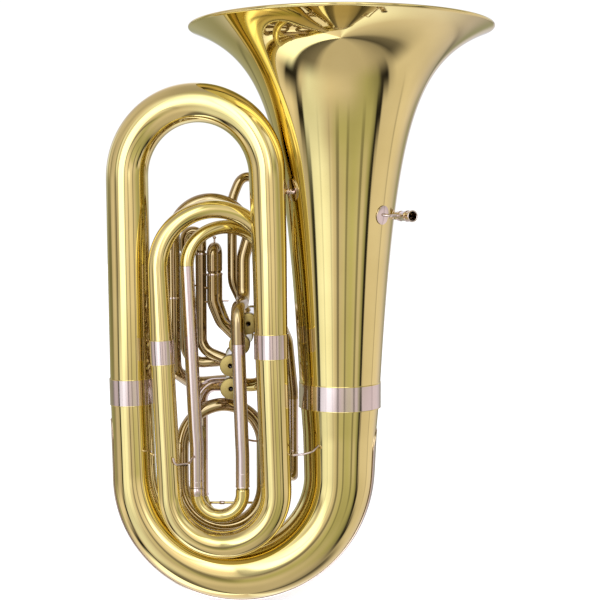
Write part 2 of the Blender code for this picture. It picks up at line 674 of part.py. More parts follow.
def make_leadpipe():
    small = 8.3 * MM
    end = at(189, -13, 661)
    inward = (at(160, 46, 661) - end).normalized()
    length = RECEIVER_LENGTH
    joint = end + inward * length
    corners = [(joint + inward * JOINT_GAP, 7 * MM), (at(156, 60, 662), 7 * MM)]
    for degrees in (50, 74, 98, 120):
        angle = math.radians(degrees)
        share = (degrees - 30) / 90
        x, y = 68 + 112 * math.cos(angle), 112 * math.sin(angle)
        corners.append((at(x, y, 662 + 26 * share), (7 + share) * MM))
    corners += [(at(-62, 76, 717), small), (at(-100, 66, 737), small), (at(-118, 60, 690), small),
                (at(-118, 60, 545), small), (port_start(1, 1), small)]
    pipe = tube("leadpipe", fillet(corners, 24 * MM, 12), TUBE_WALL, SMALL_SIDES, BRASS)
    boolean(pipe, CASING_CUTTERS[1], "DIFFERENCE")

    profile = [(9.6 * MM, 0), (9.6 * MM, -4 * MM), (8.4 * MM, -5 * MM), (8.4 * MM, -14 * MM),
               (9.4 * MM, -15 * MM), (9.4 * MM, -18 * MM), (7.8 * MM, -19 * MM), (7.8 * MM, -length),
               (6.0 * MM, -length), (7.6 * MM, 0)]
    turned("mouthpiece_receiver", profile, end, -inward, 16, NICKEL)

    plate_at = at(135, -62, 663)
    plate = flank_plate("receiver_brace", plate_at, False)
    boolean(plate, BELL_SPACE, "DIFFERENCE")
    arm_path = [(plate_at + from_axis(plate_at) * 1.5 * MM, 2.2 * MM), (at(147, -68, 662), 2.2 * MM),
                (at(169.6, 3.6, 661), 2.2 * MM)]
    arm = bar("receiver_arm", fillet(arm_path, 6 * MM, BEND_STEPS), 8, NICKEL, True)
    boolean(plate, arm, "UNION")


# ---------------------------------------------------------------- braces
def wire_brace(name, corners, radius=1.8):
    stations = [(corner, radius * MM) for corner in corners]
    return bar(name, fillet(stations, 6 * MM, 6), 8, NICKEL)


def make_braces():
    upper = wire_brace("bell_brace_upper", [at(-21.5, -63, 702), at(-9, -55, 700)], 3)
    boolean(upper, flank_plate("bell_brace_plate", at(-13, -55, 704), True), "UNION")
    boolean(upper, BELL_SPACE, "DIFFERENCE")
    wire_brace("bell_brace_lower", [at(-11.5, -60, 265), at(4, -66, 267), at(20, -62, 271), at(29, -53, 277)])
    wire_brace("left_brace", [at(-251, -36, 266), at(-250, -48, 265), at(-242.5, -58, 264)])
    wire_brace("slide_brace",
               [at(-209, -80, 264), at(-206, -80, 252), at(-184, -66, 252), at(-179, -46, 258)])
    wire_brace("inner_brace", [at(-86.7, -28, 284), at(-80, -20, 281), at(-73.2, -12, 279)])


CASING_CUTTERS = make_casing_cutters()
BELL_FOOT = make_bell()
BELL_SPACE = make_bell_space()
make_bows(BELL_FOOT)
make_main_slide()
for valve_number in VALVES:
    make_valve(valve_number)
make_circuits()
make_fourth_circuit()
make_leadpipe()
make_braces()
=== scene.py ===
"""Looks of the front-action contrabass tuba: every tube is rebuilt as a fine swept shell around
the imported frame, in lacquered brass and nickel silver, with satin caps and pearl buttons.
"""
import math

import bmesh
import bpy
import numpy as np
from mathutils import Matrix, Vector


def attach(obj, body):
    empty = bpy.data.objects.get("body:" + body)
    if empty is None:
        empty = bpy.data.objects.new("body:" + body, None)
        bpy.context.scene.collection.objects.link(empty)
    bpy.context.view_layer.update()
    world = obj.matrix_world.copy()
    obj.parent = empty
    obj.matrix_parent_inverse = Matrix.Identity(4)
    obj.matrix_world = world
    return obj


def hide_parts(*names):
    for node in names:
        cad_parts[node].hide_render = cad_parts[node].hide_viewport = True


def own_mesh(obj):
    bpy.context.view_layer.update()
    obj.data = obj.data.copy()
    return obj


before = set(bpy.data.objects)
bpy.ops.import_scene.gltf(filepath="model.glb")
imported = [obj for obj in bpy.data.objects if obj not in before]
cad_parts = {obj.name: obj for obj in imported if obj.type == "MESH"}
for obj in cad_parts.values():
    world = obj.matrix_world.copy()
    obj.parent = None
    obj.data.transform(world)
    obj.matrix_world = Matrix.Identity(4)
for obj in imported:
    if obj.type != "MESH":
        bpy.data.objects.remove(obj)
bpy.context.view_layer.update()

MM = 0.001

# Driving dimensions, in millimetres, the same as in the solids.
BELL_X = 68
RIM_Z = 975
RIM_RADIUS = 254
BELL_FOOT_Z = 360
VALVES = {1: (-87.5, 479.4), 2: (-102.7, 443.5), 3: (-118.1, 407.7), 4: (-117.6, 368.4)}
CASING_RADIUS = 16.5
CASING_FRONT = -7.7
CASING_BACK = 150
CAP_RADIUS = 18
CAP_FACE = -12
PORTS = (45, 68, 91)
BUTTON_Y = 178.3
SLEEVE_RADIUS = 11.7
INNER_LEG = 9.7
SMALL_SLEEVE = 9.6
SMALL_INNER = 7.6
LARGE_TUBE = 11.5
CASING_BORE = 15.6

# The bell's profile: radius against depth below the rim.
FLARE_BASE = 44.5
FLARE_TAPER = 0.0153
FLARE_GAIN = 4370
FLARE_OFFSET = 58
FLARE_POWER = 0.75
RIM_BEAD = 2.4

# The legs of the main slide and of the fourth valve's slide, where their sleeves end and where
# their crooks turn, the rod across the main slide, and the water key's pivot on it.
MAIN_LEFT_X = -174
MAIN_RIGHT_X = -65
MAIN_Y = 60
MAIN_SLEEVE_END = 168
MAIN_CROOK_Z = 172
MAIN_ROD_Z = 154.5
FOURTH_LEFT_X = -174.5
FOURTH_RIGHT_X = -97
FOURTH_Y = -32
FOURTH_SLEEVE_END = 204
FOURTH_CROOK_Z = 193.4
KEY_PIVOT = (-119.5, 74.5, 117.8)

# The coil under each piston, and how far the piston comes down on it.
SPRING_LOW = -7.0
SPRING_HIGH = 29.0
SPRING_RADIUS = 11
SPRING_WIRE = 0.7

# Walls of the shells.
BELL_WALL = 1.0
BOW_WALL = 1.2
TUBE_WALL = 0.9
SLIDE_WALL = 0.8
SLEEVE_WALL = 0.6

# Fineness of the shells.
RING_SPACING = 5.0
BAR_SPACING = 2.0
BELL_SEGMENTS = 160
LARGE_SIDES = 72
MIDDLE_SIDES = 48
BAND_SEGMENTS = 40
SMALL_SIDES = 32
ROD_SIDES = 16
TIE_SIDES = 12
FILLET_STEPS = 16

# Blender's noise lies mostly between these.
NOISE_LOW = 0.3
NOISE_HIGH = 0.7

# Strengths of the lights, and the camera.
ROOM_STRENGTH = 1.05
MIRROR_STRENGTH = 1.08
FLOOR_GLOW = 0.55
FLOOR_REACH = 12
CAMERA_PLACE = (0, -2.03, 0.6787)
CAMERA_TILT = 4.5
CAMERA_LENS = 72
CAMERA_SENSOR = 36


# ---------------- materials
def new_material(name):
    mat = bpy.data.materials.new(name)
    mat.use_nodes = True
    return mat, mat.node_tree.nodes, mat.node_tree.links, mat.node_tree.nodes["Principled BSDF"]


def noise(nodes, links, coords, scale, detail=3.0, stretch=(1, 1, 1)):
    mapping = nodes.new("ShaderNodeMapping")
    mapping.inputs["Scale"].default_value = stretch
    links.new(coords.outputs["Object"], mapping.inputs["Vector"])
    texture = nodes.new("ShaderNodeTexNoise")
    texture.inputs["Scale"].default_value = scale
    texture.inputs["Detail"].default_value = detail
    links.new(mapping.outputs["Vector"], texture.inputs["Vector"])
    return texture.outputs["Fac"]


def ramp(nodes, links, source, stops):
    node = nodes.new("ShaderNodeValToRGB")
    elements = node.color_ramp.elements
    while len(elements) < len(stops):
        elements.new(0.5)
    for element, (place, color) in zip(elements, stops):
        element.position = place
        element.color = (*color, 1)
    links.new(source, node.inputs["Fac"])
    return node.outputs["Color"]


def remap(nodes, links, source, start, end, low=0.0, high=1.0, kind="LINEAR"):
    node = nodes.new("ShaderNodeMapRange")
    node.interpolation_type = kind
    node.inputs["From Min"].default_value = start
    node.inputs["From Max"].default_value = end
    node.inputs["To Min"].default_value = low
    node.inputs["To Max"].default_value = high
    links.new(source, node.inputs["Value"])
    return node.outputs["Result"]


def tinted(nodes, links, shader, source, dark, light):
    color = ramp(nodes, links, source, [(NOISE_LOW, dark), (NOISE_HIGH, light)])
    links.new(color, shader.inputs["Base Color"])


def roughened(nodes, links, shader, source, low, high):
    rough = remap(nodes, links, source, NOISE_LOW, NOISE_HIGH, low, high)
    links.new(rough, shader.inputs["Roughness"])


def bump(nodes, links, shader, source, strength, distance):
    node = nodes.new("ShaderNodeBump")
    node.inputs["Strength"].default_value = strength
    node.inputs["Distance"].default_value = distance
    links.new(source, node.inputs["Height"])
    links.new(node.outputs["Normal"], shader.inputs["Normal"])


def polished_metal(name, dark, light, rough_low, rough_high, ripple):
    """Buffed metal under lacquer: slow tint changes, faint smears and a long shallow ripple."""
    mat, nodes, links, shader = new_material(name)
    coords = nodes.new("ShaderNodeTexCoord")
    tint = noise(nodes, links, coords, 9.0, 4.0)
    tinted(nodes, links, shader, tint, dark, light)
    smear = noise(nodes, links, coords, 38.0, 5.0, (1, 1, 0.35))
    roughened(nodes, links, shader, smear, rough_low, rough_high)
    wave = noise(nodes, links, coords, 14.0, 2.0, (1, 1, 0.25))
    bump(nodes, links, shader, wave, ripple, 0.0012)
    shader.inputs["Metallic"].default_value = 1.0
    shader.inputs["Coat Weight"].default_value = 0.22
    shader.inputs["Coat Roughness"].default_value = 0.03
    return mat


def satin_metal(name, dark, light, rough_low, rough_high):
    mat, nodes, links, shader = new_material(name)
    coords = nodes.new("ShaderNodeTexCoord")
    grain = noise(nodes, links, coords, 160.0, 4.0)
    tinted(nodes, links, shader, grain, dark, light)
    roughened(nodes, links, shader, grain, rough_low, rough_high)
    fine = noise(nodes, links, coords, 900.0, 2.0)
    bump(nodes, links, shader, fine, 0.12, 0.0002)
    shader.inputs["Metallic"].default_value = 1.0
    return mat


def soft_material(name, dark, light, scale, roughness, grain_depth):
    mat, nodes, links, shader = new_material(name)
    coords = nodes.new("ShaderNodeTexCoord")
    mottle = noise(nodes, links, coords, scale, 5.0)
    tinted(nodes, links, shader, mottle, dark, light)
    roughened(nodes, links, shader, mottle, roughness - 0.06, roughness + 0.06)
    bump(nodes, links, shader, mottle, 0.4, grain_depth)
    return mat


def pearl_material():
    mat, nodes, links, shader = new_material("mother_of_pearl")
    coords = nodes.new("ShaderNodeTexCoord")
    clouds = noise(nodes, links, coords, 120.0, 6.0, (1, 1, 2.5))
    stops = [(0.25, (0.78, 0.80, 0.80)), (0.5, (0.92, 0.88, 0.86)), (0.75, (0.82, 0.88, 0.84))]
    links.new(ramp(nodes, links, clouds, stops), shader.inputs["Base Color"])
    roughened(nodes, links, shader, clouds, 0.12, 0.25)
    shader.inputs["Coat Weight"].default_value = 0.6
    return mat


BRASS = polished_metal("lacquered_brass", (0.67, 0.545, 0.20), (0.75, 0.62, 0.245),
                       0.025, 0.055, 0.06)
# The inner tubes' brass is a darker, browner copy of the lacquered brass: painted shade for the
# light that the outer bows keep off them.
SHADED_INNER_BRASS = polished_metal("inner_tube_brass_painted_shade", (0.36, 0.265, 0.13), (0.47, 0.36, 0.17),
                             0.02, 0.05, 0.06)
NICKEL = polished_metal("nickel_silver", (0.63, 0.52, 0.455), (0.71, 0.595, 0.52),
                        0.06, 0.13, 0.08)
CAP = satin_metal("cap_brass", (0.36, 0.27, 0.085), (0.44, 0.34, 0.115), 0.38, 0.52)
STEEL = satin_metal("spring_steel", (0.45, 0.45, 0.46), (0.6, 0.6, 0.61), 0.22, 0.34)
PEARL = pearl_material()
FELT = soft_material("valve_felt", (0.10, 0.02, 0.02), (0.22, 0.04, 0.04),
                     700.0, 0.85, 0.0004)


# ---------------- mesh tools
def add_piece(name, verts, faces, mat, body, nodes=(), smooth_angle=40):
    mesh = bpy.data.meshes.new(name)
    mesh.from_pydata([tuple(v) for v in verts], [], faces)
    mesh.update()
    mesh.shade_smooth()
    mesh.set_sharp_from_angle(angle=math.radians(smooth_angle))
    mesh.materials.append(mat)
    obj = bpy.data.objects.new(name, mesh)
    bpy.context.scene.collection.objects.link(obj)
    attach(obj, body)
    if nodes:
        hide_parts(*nodes)
    return obj


def face_outward(obj):
    bm = bmesh.new()
    bm.from_mesh(obj.data)
    bmesh.ops.recalc_face_normals(bm, faces=bm.faces)
    bm.to_mesh(obj.data)
    bm.free()


def join_rings(first, second, columns, flip=False):
    """Quads between two closed rings, given by the number of each ring's first vertex."""
    faces = []
    for i in range(columns):
        j = (i + 1) % columns
        face = (first + i, second + i, second + j, first + j)
        faces.append(face[::-1] if flip else face)
    return faces


def grid_faces(rows, columns, offset=0, flip=False):
    """Quads between successive closed rings of vertices."""
    faces = []
    for row in range(rows - 1):
        start = offset + row * columns
        faces += join_rings(start, start + columns, columns, flip)
    return faces


def frames(points):
    """Tangents and a normal and binormal that turn as little as they can."""
    tangents = np.gradient(points, axis=0)
    tangents /= np.linalg.norm(tangents, axis=1)[:, None]
    helper = np.array([0.0, 1.0, 0.0])
    if abs(tangents[0] @ helper) > 0.9:
        helper = np.array([1.0, 0.0, 0.0])
    normal = helper - tangents[0] * (helper @ tangents[0])
    normals = []
    for tangent in tangents:
        normal = normal - tangent * (normal @ tangent)
        normal /= np.linalg.norm(normal)
        normals.append(normal)
    normals = np.array(normals)
    return tangents, normals, np.cross(tangents, normals)


def rings(points, radii, sides):
    _, normals, binormals = frames(points)
    angles = np.linspace(0, 2 * math.pi, sides, endpoint=False)
    round_points = (np.cos(angles)[None, :, None] * normals[:, None, :]
                    + np.sin(angles)[None, :, None] * binormals[:, None, :])
    return points[:, None, :] + radii[:, None, None] * round_points


def resample(path, spacing, ease):
    """The path at even spacing, its small kinks eased over a few millimetres."""
    steps = np.linalg.norm(np.diff(path[:, :3], axis=0), axis=1)
    along = np.concatenate([[0], np.cumsum(steps)])
    keep = np.concatenate([[True], steps > 1e-6])
    path, along = path[keep], along[keep]
    count = max(3, int(round(along[-1] / spacing)) + 1)
    places = np.linspace(0, along[-1], count)
    out = np.stack([np.interp(places, along, path[:, k]) for k in range(4)], axis=1)
    if ease > 0 and count > 8:
        reach = max(1, int(round(ease / spacing)))
        for _ in range(2):
            padded = np.concatenate([np.repeat(out[:1], reach, 0), out,
                                     np.repeat(out[-1:], reach, 0)])
            window = np.ones(2 * reach + 1) / (2 * reach + 1)
            soft = np.stack([np.convolve(padded[:, k], window, "valid") for k in range(4)], axis=1)
            soft[:reach + 1] = out[:reach + 1]
            soft[-reach - 1:] = out[-reach - 1:]
            out = soft
    return out


def meet_valve(points, shell, number):
    """Cuts the first rings of a tube back to the round face of the valve casing it enters."""
    x, z = VALVES[number]
    center = np.array([x, z])
    reach = CASING_RADIUS + 0.1
    apart = np.linalg.norm(shell[:, :, [0, 2]] - center, axis=2).min(axis=1)
    first = int(np.argmax(apart > reach + 0.5))
    back = points[first] - points[first + 1]
    back /= np.linalg.norm(back)
    ring = shell[first]
    flat = back[[0, 2]]
    start = ring[:, [0, 2]] - center
    a = flat @ flat
    b = 2 * (start @ flat)
    c = (start ** 2).sum(axis=1) - reach ** 2
    root = np.sqrt(np.maximum(b * b - 4 * a * c, 0))
    distance = (-b - root) / (2 * a)
    met = ring + distance[:, None] * back[None, :]
    return first, met


def sweep(name, path, wall, sides, mat, body, nodes=(), valve=None, spacing=RING_SPACING,
          ease=6.0):
    """A round tube of even wall along a path of (x, y, z, radius) rows in millimetres."""
    path = resample(np.array(path, float), spacing, ease)
    points, radii = path[:, :3], path[:, 3]
    outer = rings(points, radii, sides)
    inner = rings(points, radii - wall, sides)
    if valve:
        first, met_outer = meet_valve(points, outer, valve)
        step = met_outer - outer[first]
        outer = np.concatenate([met_outer[None], outer[first:]])
        inner = np.concatenate([(inner[first] + step)[None], inner[first:]])
    rows = len(outer)
    verts = np.concatenate([outer.reshape(-1, 3), inner.reshape(-1, 3)]) * MM
    faces = grid_faces(rows, sides)
    inside = rows * sides
    faces += grid_faces(rows, sides, inside, True)
    faces += join_rings(inside, 0, sides)
    faces += join_rings((rows - 1) * sides, inside + (rows - 1) * sides, sides)
    return add_piece(name, verts, faces, mat, body, nodes)


def turned(name, profile, center, axis, segments, mat, body, nodes=()):
    """A closed profile of (radius, height) turned about an axis through center, in millimetres."""
    axis = Vector(axis).normalized()
    side = axis.orthogonal().normalized()
    other = axis.cross(side)
    verts, columns = [], len(profile)
    for i in range(segments):
        angle = 2 * math.pi * i / segments
        ray = side * math.cos(angle) + other * math.sin(angle)
        for radius, height in profile:
            verts.append((Vector(center) + ray * radius + axis * height) * MM)
    faces = []
    for i in range(segments):
        a, b = i * columns, ((i + 1) % segments) * columns
        for k in range(columns):
            n = (k + 1) % columns
            faces.append((a + k, a + n, b + n, b + k))
    return add_piece(name, verts, faces, mat, body, nodes, smooth_angle=30)


def rounded_ring(inner, outer, low, high, edge=0.4):
    """A band section with softened edges, running up its outer side."""
    return [(inner, low), (outer - edge, low), (outer - 0.3 * edge, low + 0.3 * edge),
            (outer, low + edge), (outer, high - edge),
            (outer - 0.3 * edge, high - 0.3 * edge), (outer - edge, high), (inner, high)]


def bar(name, path, sides, mat, body, nodes=()):
    """A solid round wire or rod with softly rounded ends."""
    path = resample(np.array(path, float), BAR_SPACING, 2.0)
    points, radii = path[:, :3], path[:, 3]
    shell = rings(points, radii, sides)
    tangents, _, _ = frames(points)
    ends = []
    for index, sign in ((0, -1), (-1, 1)):
        squeezed = points[index] + (shell[index] - points[index]) * 0.6
        ends.append(squeezed + sign * tangents[index] * radii[index] * 0.3)
    shell = np.concatenate([ends[0][None], shell, ends[1][None]])
    rows = len(shell)
    verts = shell.reshape(-1, 3) * MM
    faces = grid_faces(rows, sides)
    faces.append(tuple(range(sides)))
    faces.append(tuple(range((rows - 1) * sides, rows * sides))[::-1])
    return add_piece(name, verts, faces, mat, body, nodes)


# ---------------- centrelines
def fillet(corners, bend):
    """Rows along straight runs whose corners are rounded to the bend radius."""
    corners = [(Vector(c[:3]), c[3]) for c in corners]
    out = [(*corners[0][0], corners[0][1])]
    for index in range(1, len(corners) - 1):
        before, (point, radius), after = corners[index - 1], corners[index], corners[index + 1]
        to_before, to_after = before[0] - point, after[0] - point
        turn = math.pi - to_before.angle(to_after)
        if turn < 0.03:
            out.append((*point, radius))
            continue
        reach = min(bend * math.tan(turn / 2), 0.48 * to_before.length, 0.48 * to_after.length)
        start = point + to_before.normalized() * reach
        end = point + to_after.normalized() * reach
        middle = (start + end) / 2 - point
        center = point + middle.normalized() * (reach / math.tan(turn / 2) / math.cos(turn / 2))
        arm_a, arm_b = start - center, end - center
        for step in range(FILLET_STEPS + 1):
            share = step / FILLET_STEPS
            near, far = math.sin((1 - share) * turn), math.sin(share * turn)
            out.append((*(center + (arm_a * near + arm_b * far) / math.sin(turn)), radius))
    out.append((*corners[-1][0], corners[-1][1]))
    return out


def half_turn(start, end, up, steps=40, height=None):
    """Rows of a half circle, or a half ellipse of a given height, in its ends' upright plane."""
    first, last = Vector(start[:3]), Vector(end[:3])
    rise = Vector((0, 0, up * (height or (last - first).length / 2)))
    out = []
    for step in range(steps + 1):
        share = step / steps
        angle = math.pi * share
        eased = (1 - math.cos(angle)) / 2
        point = first + (last - first) * eased + rise * math.sin(angle)
        out.append((*point, start[3] + (end[3] - start[3]) * share))
    return out


# ---------------- bell
def flare(depth):
    return FLARE_BASE - FLARE_TAPER * depth + FLARE_GAIN / (depth + FLARE_OFFSET) ** FLARE_POWER


def flare_eased(depth):
    """The flare, opened a little near the rim so that it meets the rim's radius."""
    lift = (RIM_RADIUS - 1.5) / flare(5)
    return flare(depth) * (1 + (lift - 1) * math.exp(-(depth - 5) / 60))


def make_seams(name, places, inner, outer, half_width, center, axis, segments):
    """The thin line of brass at each end of a soldered sleeve."""
    for label, place in zip(("low", "high"), places):
        seam = rounded_ring(inner, outer, place - half_width, place + half_width, 0.3)
        turned("%s_seam_%s" % (name, label), seam, center, axis, segments, BRASS, "horn")


def make_bell():
    length = RIM_Z - BELL_FOOT_Z
    count = 90
    start = 4.0
    depths = [start + (length - start) * (i / count) ** 1.7 for i in range(count + 1)]
    outer = [(min(flare_eased(d), RIM_RADIUS - 0.6) - 0.2, -d) for d in depths]
    inner = [(radius - BELL_WALL, height) for radius, height in reversed(outer)]
    lip = []
    for step in range(15):
        angle = math.radians(200 - 290 * step / 14)
        lip.append((RIM_RADIUS - RIM_BEAD + RIM_BEAD * math.cos(angle),
                    -RIM_BEAD + RIM_BEAD * math.sin(angle)))
    profile = (lip + outer + inner)[::-1]
    up = (0, 0, 1)
    turned("bell_skin", profile, (BELL_X, 0, RIM_Z), up, BELL_SEGMENTS, BRASS, "horn", ["bell"])
    foot = flare_eased(length)
    foot_center = (BELL_X, 0, BELL_FOOT_Z)
    band = [(foot + 0.4, -22), (foot + 1.5, -22), (foot + 1.7, -21.8), (foot + 1.7, 18.8),
            (foot + 1.5, 19), (foot + 0.6, 19)]
    turned("bell_ferrule_skin", band, foot_center, up, BELL_SEGMENTS, NICKEL, "horn",
           ["bell_ferrule"])
    make_seams("bell_ferrule", (-22.3, 19.3), foot + 0.3, foot + 2.0, 0.7, foot_center, up,
               BELL_SEGMENTS)
    return foot


# ---------------- large bows
BOTTOM_LEFT = (-282, -10, 225.5, 36)
BOTTOM_RIGHT = (67, 0, 225.5, 60)
BOTTOM_CENTER = (-107.5, -5.0, 300.0)

# The guard strip: where it ends on each leg, how far it reaches round the bow, how long its
# ends narrow, and the lift of its two faces and of their edges above the bow.
GUARD_MIDDLE_X = -107
GUARD_TOP_LEFT = 322
GUARD_TOP_RIGHT = 302
GUARD_HALF_ANGLE = math.radians(25)
GUARD_TAPER = 30
GUARD_COLUMNS = 25
GUARD_LIFTS = ((0.4, 0), (1.3, 0.35))


def bottom_path(foot):
    path = [(BELL_X, 0, BELL_FOOT_Z - 1.2, foot), (67.6, 0, 290, 62.5)]
    path += half_turn(BOTTOM_RIGHT, BOTTOM_LEFT, -1, 60)
    path.append((-286.2, -10, 364.2, 35.3))
    return path


def make_guard(path):
    """The nickel strip on the bottom bow's outer side: a thin plate with a thicker edge."""
    path = resample(np.array(path, float), RING_SPACING, 6.0)
    left = path[:, 0] < GUARD_MIDDLE_X
    path = path[path[:, 2] < np.where(left, GUARD_TOP_LEFT, GUARD_TOP_RIGHT)]
    points, radii = path[:, :3], path[:, 3]
    tangents, _, _ = frames(points)
    sideways = np.tile(np.array([0.0, 1.0, 0.0]), (len(points), 1))
    sideways -= tangents * (sideways * tangents).sum(axis=1)[:, None]
    sideways /= np.linalg.norm(sideways, axis=1)[:, None]
    outward = np.cross(sideways, tangents)
    outward *= np.sign(((points - np.array(BOTTOM_CENTER)) * outward).sum(axis=1))[:, None]
    run = np.concatenate([[0], np.cumsum(np.linalg.norm(np.diff(points, axis=0), axis=1))])
    taper = 0.35 + 0.65 * np.sqrt(np.clip(np.minimum(run, run[-1] - run) / GUARD_TAPER, 0, 1))
    columns = GUARD_COLUMNS
    angles = np.linspace(-GUARD_HALF_ANGLE, GUARD_HALF_ANGLE, columns)
    turned_over = (0, 1, columns - 2, columns - 1)
    verts = []
    for lift, edge_lift in GUARD_LIFTS:
        for point, radius, out, side, share in zip(points, radii, outward, sideways, taper):
            for number, angle in enumerate(angles * share):
                edge = edge_lift if number in turned_over else 0
                ray = out * math.cos(angle) + side * math.sin(angle)
                verts.append((point + ray * (radius + lift + edge)) * MM)
    rows = len(points)
    faces = []
    high = rows * columns
    for row in range(rows - 1):
        for k in range(columns - 1):
            a = row * columns + k
            faces.append((a, a + 1, a + columns + 1, a + columns))
            faces.append((high + a, high + a + columns, high + a + columns + 1, high + a + 1))
    for row in range(rows - 1):
        for k, turn in ((0, 1), (columns - 1, -1)):
            a, b = row * columns + k, (row + 1) * columns + k
            faces.append((a, b, high + b, high + a)[::turn])
    for row, turn in ((0, -1), (rows - 1, 1)):
        for k in range(columns - 1):
            a = row * columns + k
            faces.append((a, a + 1, high + a + 1, high + a)[::turn])
    guard = add_piece("guard_skin", verts, faces, NICKEL, "horn", ["bottom_bow_guard"])
    face_outward(guard)


def ferrule(name, low, high, radius, node):
    """A soldered sleeve with a thin line of brass at each end."""
    low, high = Vector(low), Vector(high)
    length = (high - low).length
    out = radius + 1.1
    band = [(radius + 0.4, 0), (out - 0.2, 0), (out, 0.2), (out, length - 0.2),
            (out - 0.2, length), (radius + 0.4, length)]
    turned(name, band, low, high - low, LARGE_SIDES, NICKEL, "horn", [node])
    make_seams(name, (-0.3, length + 0.3), radius + 0.2, out + 0.3, 0.6, low, high - low,
               LARGE_SIDES)


def make_bows(foot):
    bottom = bottom_path(foot)
    sweep("bottom_bow_skin", bottom, BOW_WALL, LARGE_SIDES, BRASS, "horn", ["bottom_bow"])
    make_guard(bottom)

    ferrule("outer_ferrule_skin", (-285.8, -10, 344), (-286.7, -10, 387), 35.4, "outer_ferrule")
    top = [(-286.2, -10, 365.4, 35.3), (-288.6, -12, 640, 35.3)]
    top += half_turn((-289, -14, 727.6, 35.2), (-53.6, -63, 727.6, 29.8), 1, 60)
    top += [(-50.3, -60, 606, 28.6), (-47.6, -58, 448, 27.2)]
    sweep("top_bow_skin", top, BOW_WALL, LARGE_SIDES, BRASS, "horn", ["top_bow"])

    ferrule("second_ferrule_skin", (-47.3, -58, 427), (-47.9, -58, 467), 27.4, "second_ferrule")
    second = [(-47.6, -58, 446.8, 27.2)]
    second += half_turn((-39.5, -58, 201.5, 25.6), (-217.4, -58, 201.5, 20), -1, 50)
    second.append((-228.2, -58, 436.8, 19.2))
    sweep("second_bottom_bow_skin", second, BOW_WALL, MIDDLE_SIDES, BRASS, "horn",
          ["second_bottom_bow"])

    ferrule("third_ferrule_skin", (-227.3, -58, 417), (-229.1, -58, 457), 19.4, "third_ferrule")
    upper = [(-228.3, -58, 437.4, 19.2)]
    upper += half_turn((-234.2, -58, 577.7, 16.4), (-49.5, -9, 577.7, 14), 1, 50)
    upper.append((-52, -9, 455.4, 13.6))
    sweep("second_top_bow_skin", upper, TUBE_WALL, MIDDLE_SIDES, BRASS, "horn", ["second_top_bow"])

    ferrule("fourth_ferrule_skin", (-51.8, -9, 440), (-52.1, -9, 470), 13.9, "fourth_ferrule")
    third = [(-52, -9, 454.8, 13.6)]
    third += half_turn((-61, -7, 200.7, 13), (-205, 22, 200.7, 12.2), -1, 40)
    third.append((-205, 23, 230, 12))
    sweep("third_bottom_bow_skin", third, TUBE_WALL, SMALL_SIDES, SHADED_INNER_BRASS, "horn",
          ["third_bottom_bow"])


# ---------------- slides and circuits
def line_band(name, center, axis, radius, body, width, proud=0.7):
    """A thin raised ring round a tube, such as the end of a sleeve."""
    profile = rounded_ring(radius - 0.2, radius + proud, -width / 2, width / 2, 0.35)
    turned(name, profile, center, axis, BAND_SEGMENTS, NICKEL, body)


def make_main_sleeves():
    arch = [(-205, 23.4, 231.2, 12)]
    arch += half_turn((-205, 26, 261, 11.9), (MAIN_RIGHT_X, MAIN_Y, 261, SLEEVE_RADIUS), 1)
    arch.append((MAIN_RIGHT_X, MAIN_Y, 258, SLEEVE_RADIUS))
    sweep("tuning_arch_skin", arch, TUBE_WALL, SMALL_SIDES, SHADED_INNER_BRASS, "horn", ["tuning_arch"])
    right = [(MAIN_RIGHT_X, MAIN_Y, 257.7, SLEEVE_RADIUS),
             (MAIN_RIGHT_X, MAIN_Y, MAIN_SLEEVE_END, SLEEVE_RADIUS)]
    sweep("main_sleeve_right_skin", right, SLIDE_WALL, SMALL_SIDES, SHADED_INNER_BRASS, "horn",
          ["main_slide_sleeve_right"])
    x, z = VALVES[4]
    left = [(x, PORTS[0], z, SLEEVE_RADIUS), (MAIN_LEFT_X, MAIN_Y, 364, SLEEVE_RADIUS),
            (MAIN_LEFT_X, MAIN_Y, MAIN_SLEEVE_END, SLEEVE_RADIUS)]
    sweep("main_sleeve_left_skin", fillet(left, 28), SLIDE_WALL, SMALL_SIDES, NICKEL, "horn",
          ["main_slide_sleeve_left"], valve=4, spacing=3.0, ease=0)
    for side, leg_x in (("left", MAIN_LEFT_X), ("right", MAIN_RIGHT_X)):
        line_band("main_sleeve_ring_" + side, (leg_x, MAIN_Y, MAIN_SLEEVE_END + 2), (0, 0, 1),
                  SLEEVE_RADIUS, "horn", 4)


def make_main_slide():
    body = "main_tuning_slide"
    legs = []
    for x in (MAIN_LEFT_X, MAIN_RIGHT_X):
        legs.append([(x, MAIN_Y, 238, INNER_LEG), (x, MAIN_Y, 166, INNER_LEG),
                     (x, MAIN_Y, 164.5, SLEEVE_RADIUS)])
    crook = half_turn((MAIN_LEFT_X, MAIN_Y, MAIN_CROOK_Z, SLEEVE_RADIUS),
                      (MAIN_RIGHT_X, MAIN_Y, MAIN_CROOK_Z, SLEEVE_RADIUS), -1)
    # The crook's first and last rows would lie inside the sleeves.
    route = legs[0] + crook[3:-3] + legs[1][::-1]
    sweep("main_slide_skin", route, SLIDE_WALL, SMALL_SIDES, BRASS, body, [body],
          spacing=1.5, ease=0)
    rod = [(MAIN_LEFT_X + 9.5, MAIN_Y, MAIN_ROD_Z, 2.2),
           (MAIN_RIGHT_X - 9.5, MAIN_Y, MAIN_ROD_Z, 2.2)]
    bar("main_slide_brace", rod, ROD_SIDES, BRASS, body)
    line_band("main_slide_brace_sleeve", (-138, MAIN_Y, MAIN_ROD_Z), (1, 0, 0), 2.2, body, 9,
              proud=1.1)
    for side, foot_x in (("left", MAIN_LEFT_X + 12.5), ("right", MAIN_RIGHT_X - 12.5)):
        turned("main_slide_foot_" + side, rounded_ring(2.2, 4.8, -1.5, 1.5),
               (foot_x, MAIN_Y, MAIN_ROD_Z), (1, 0, 0), 24, BRASS, body)


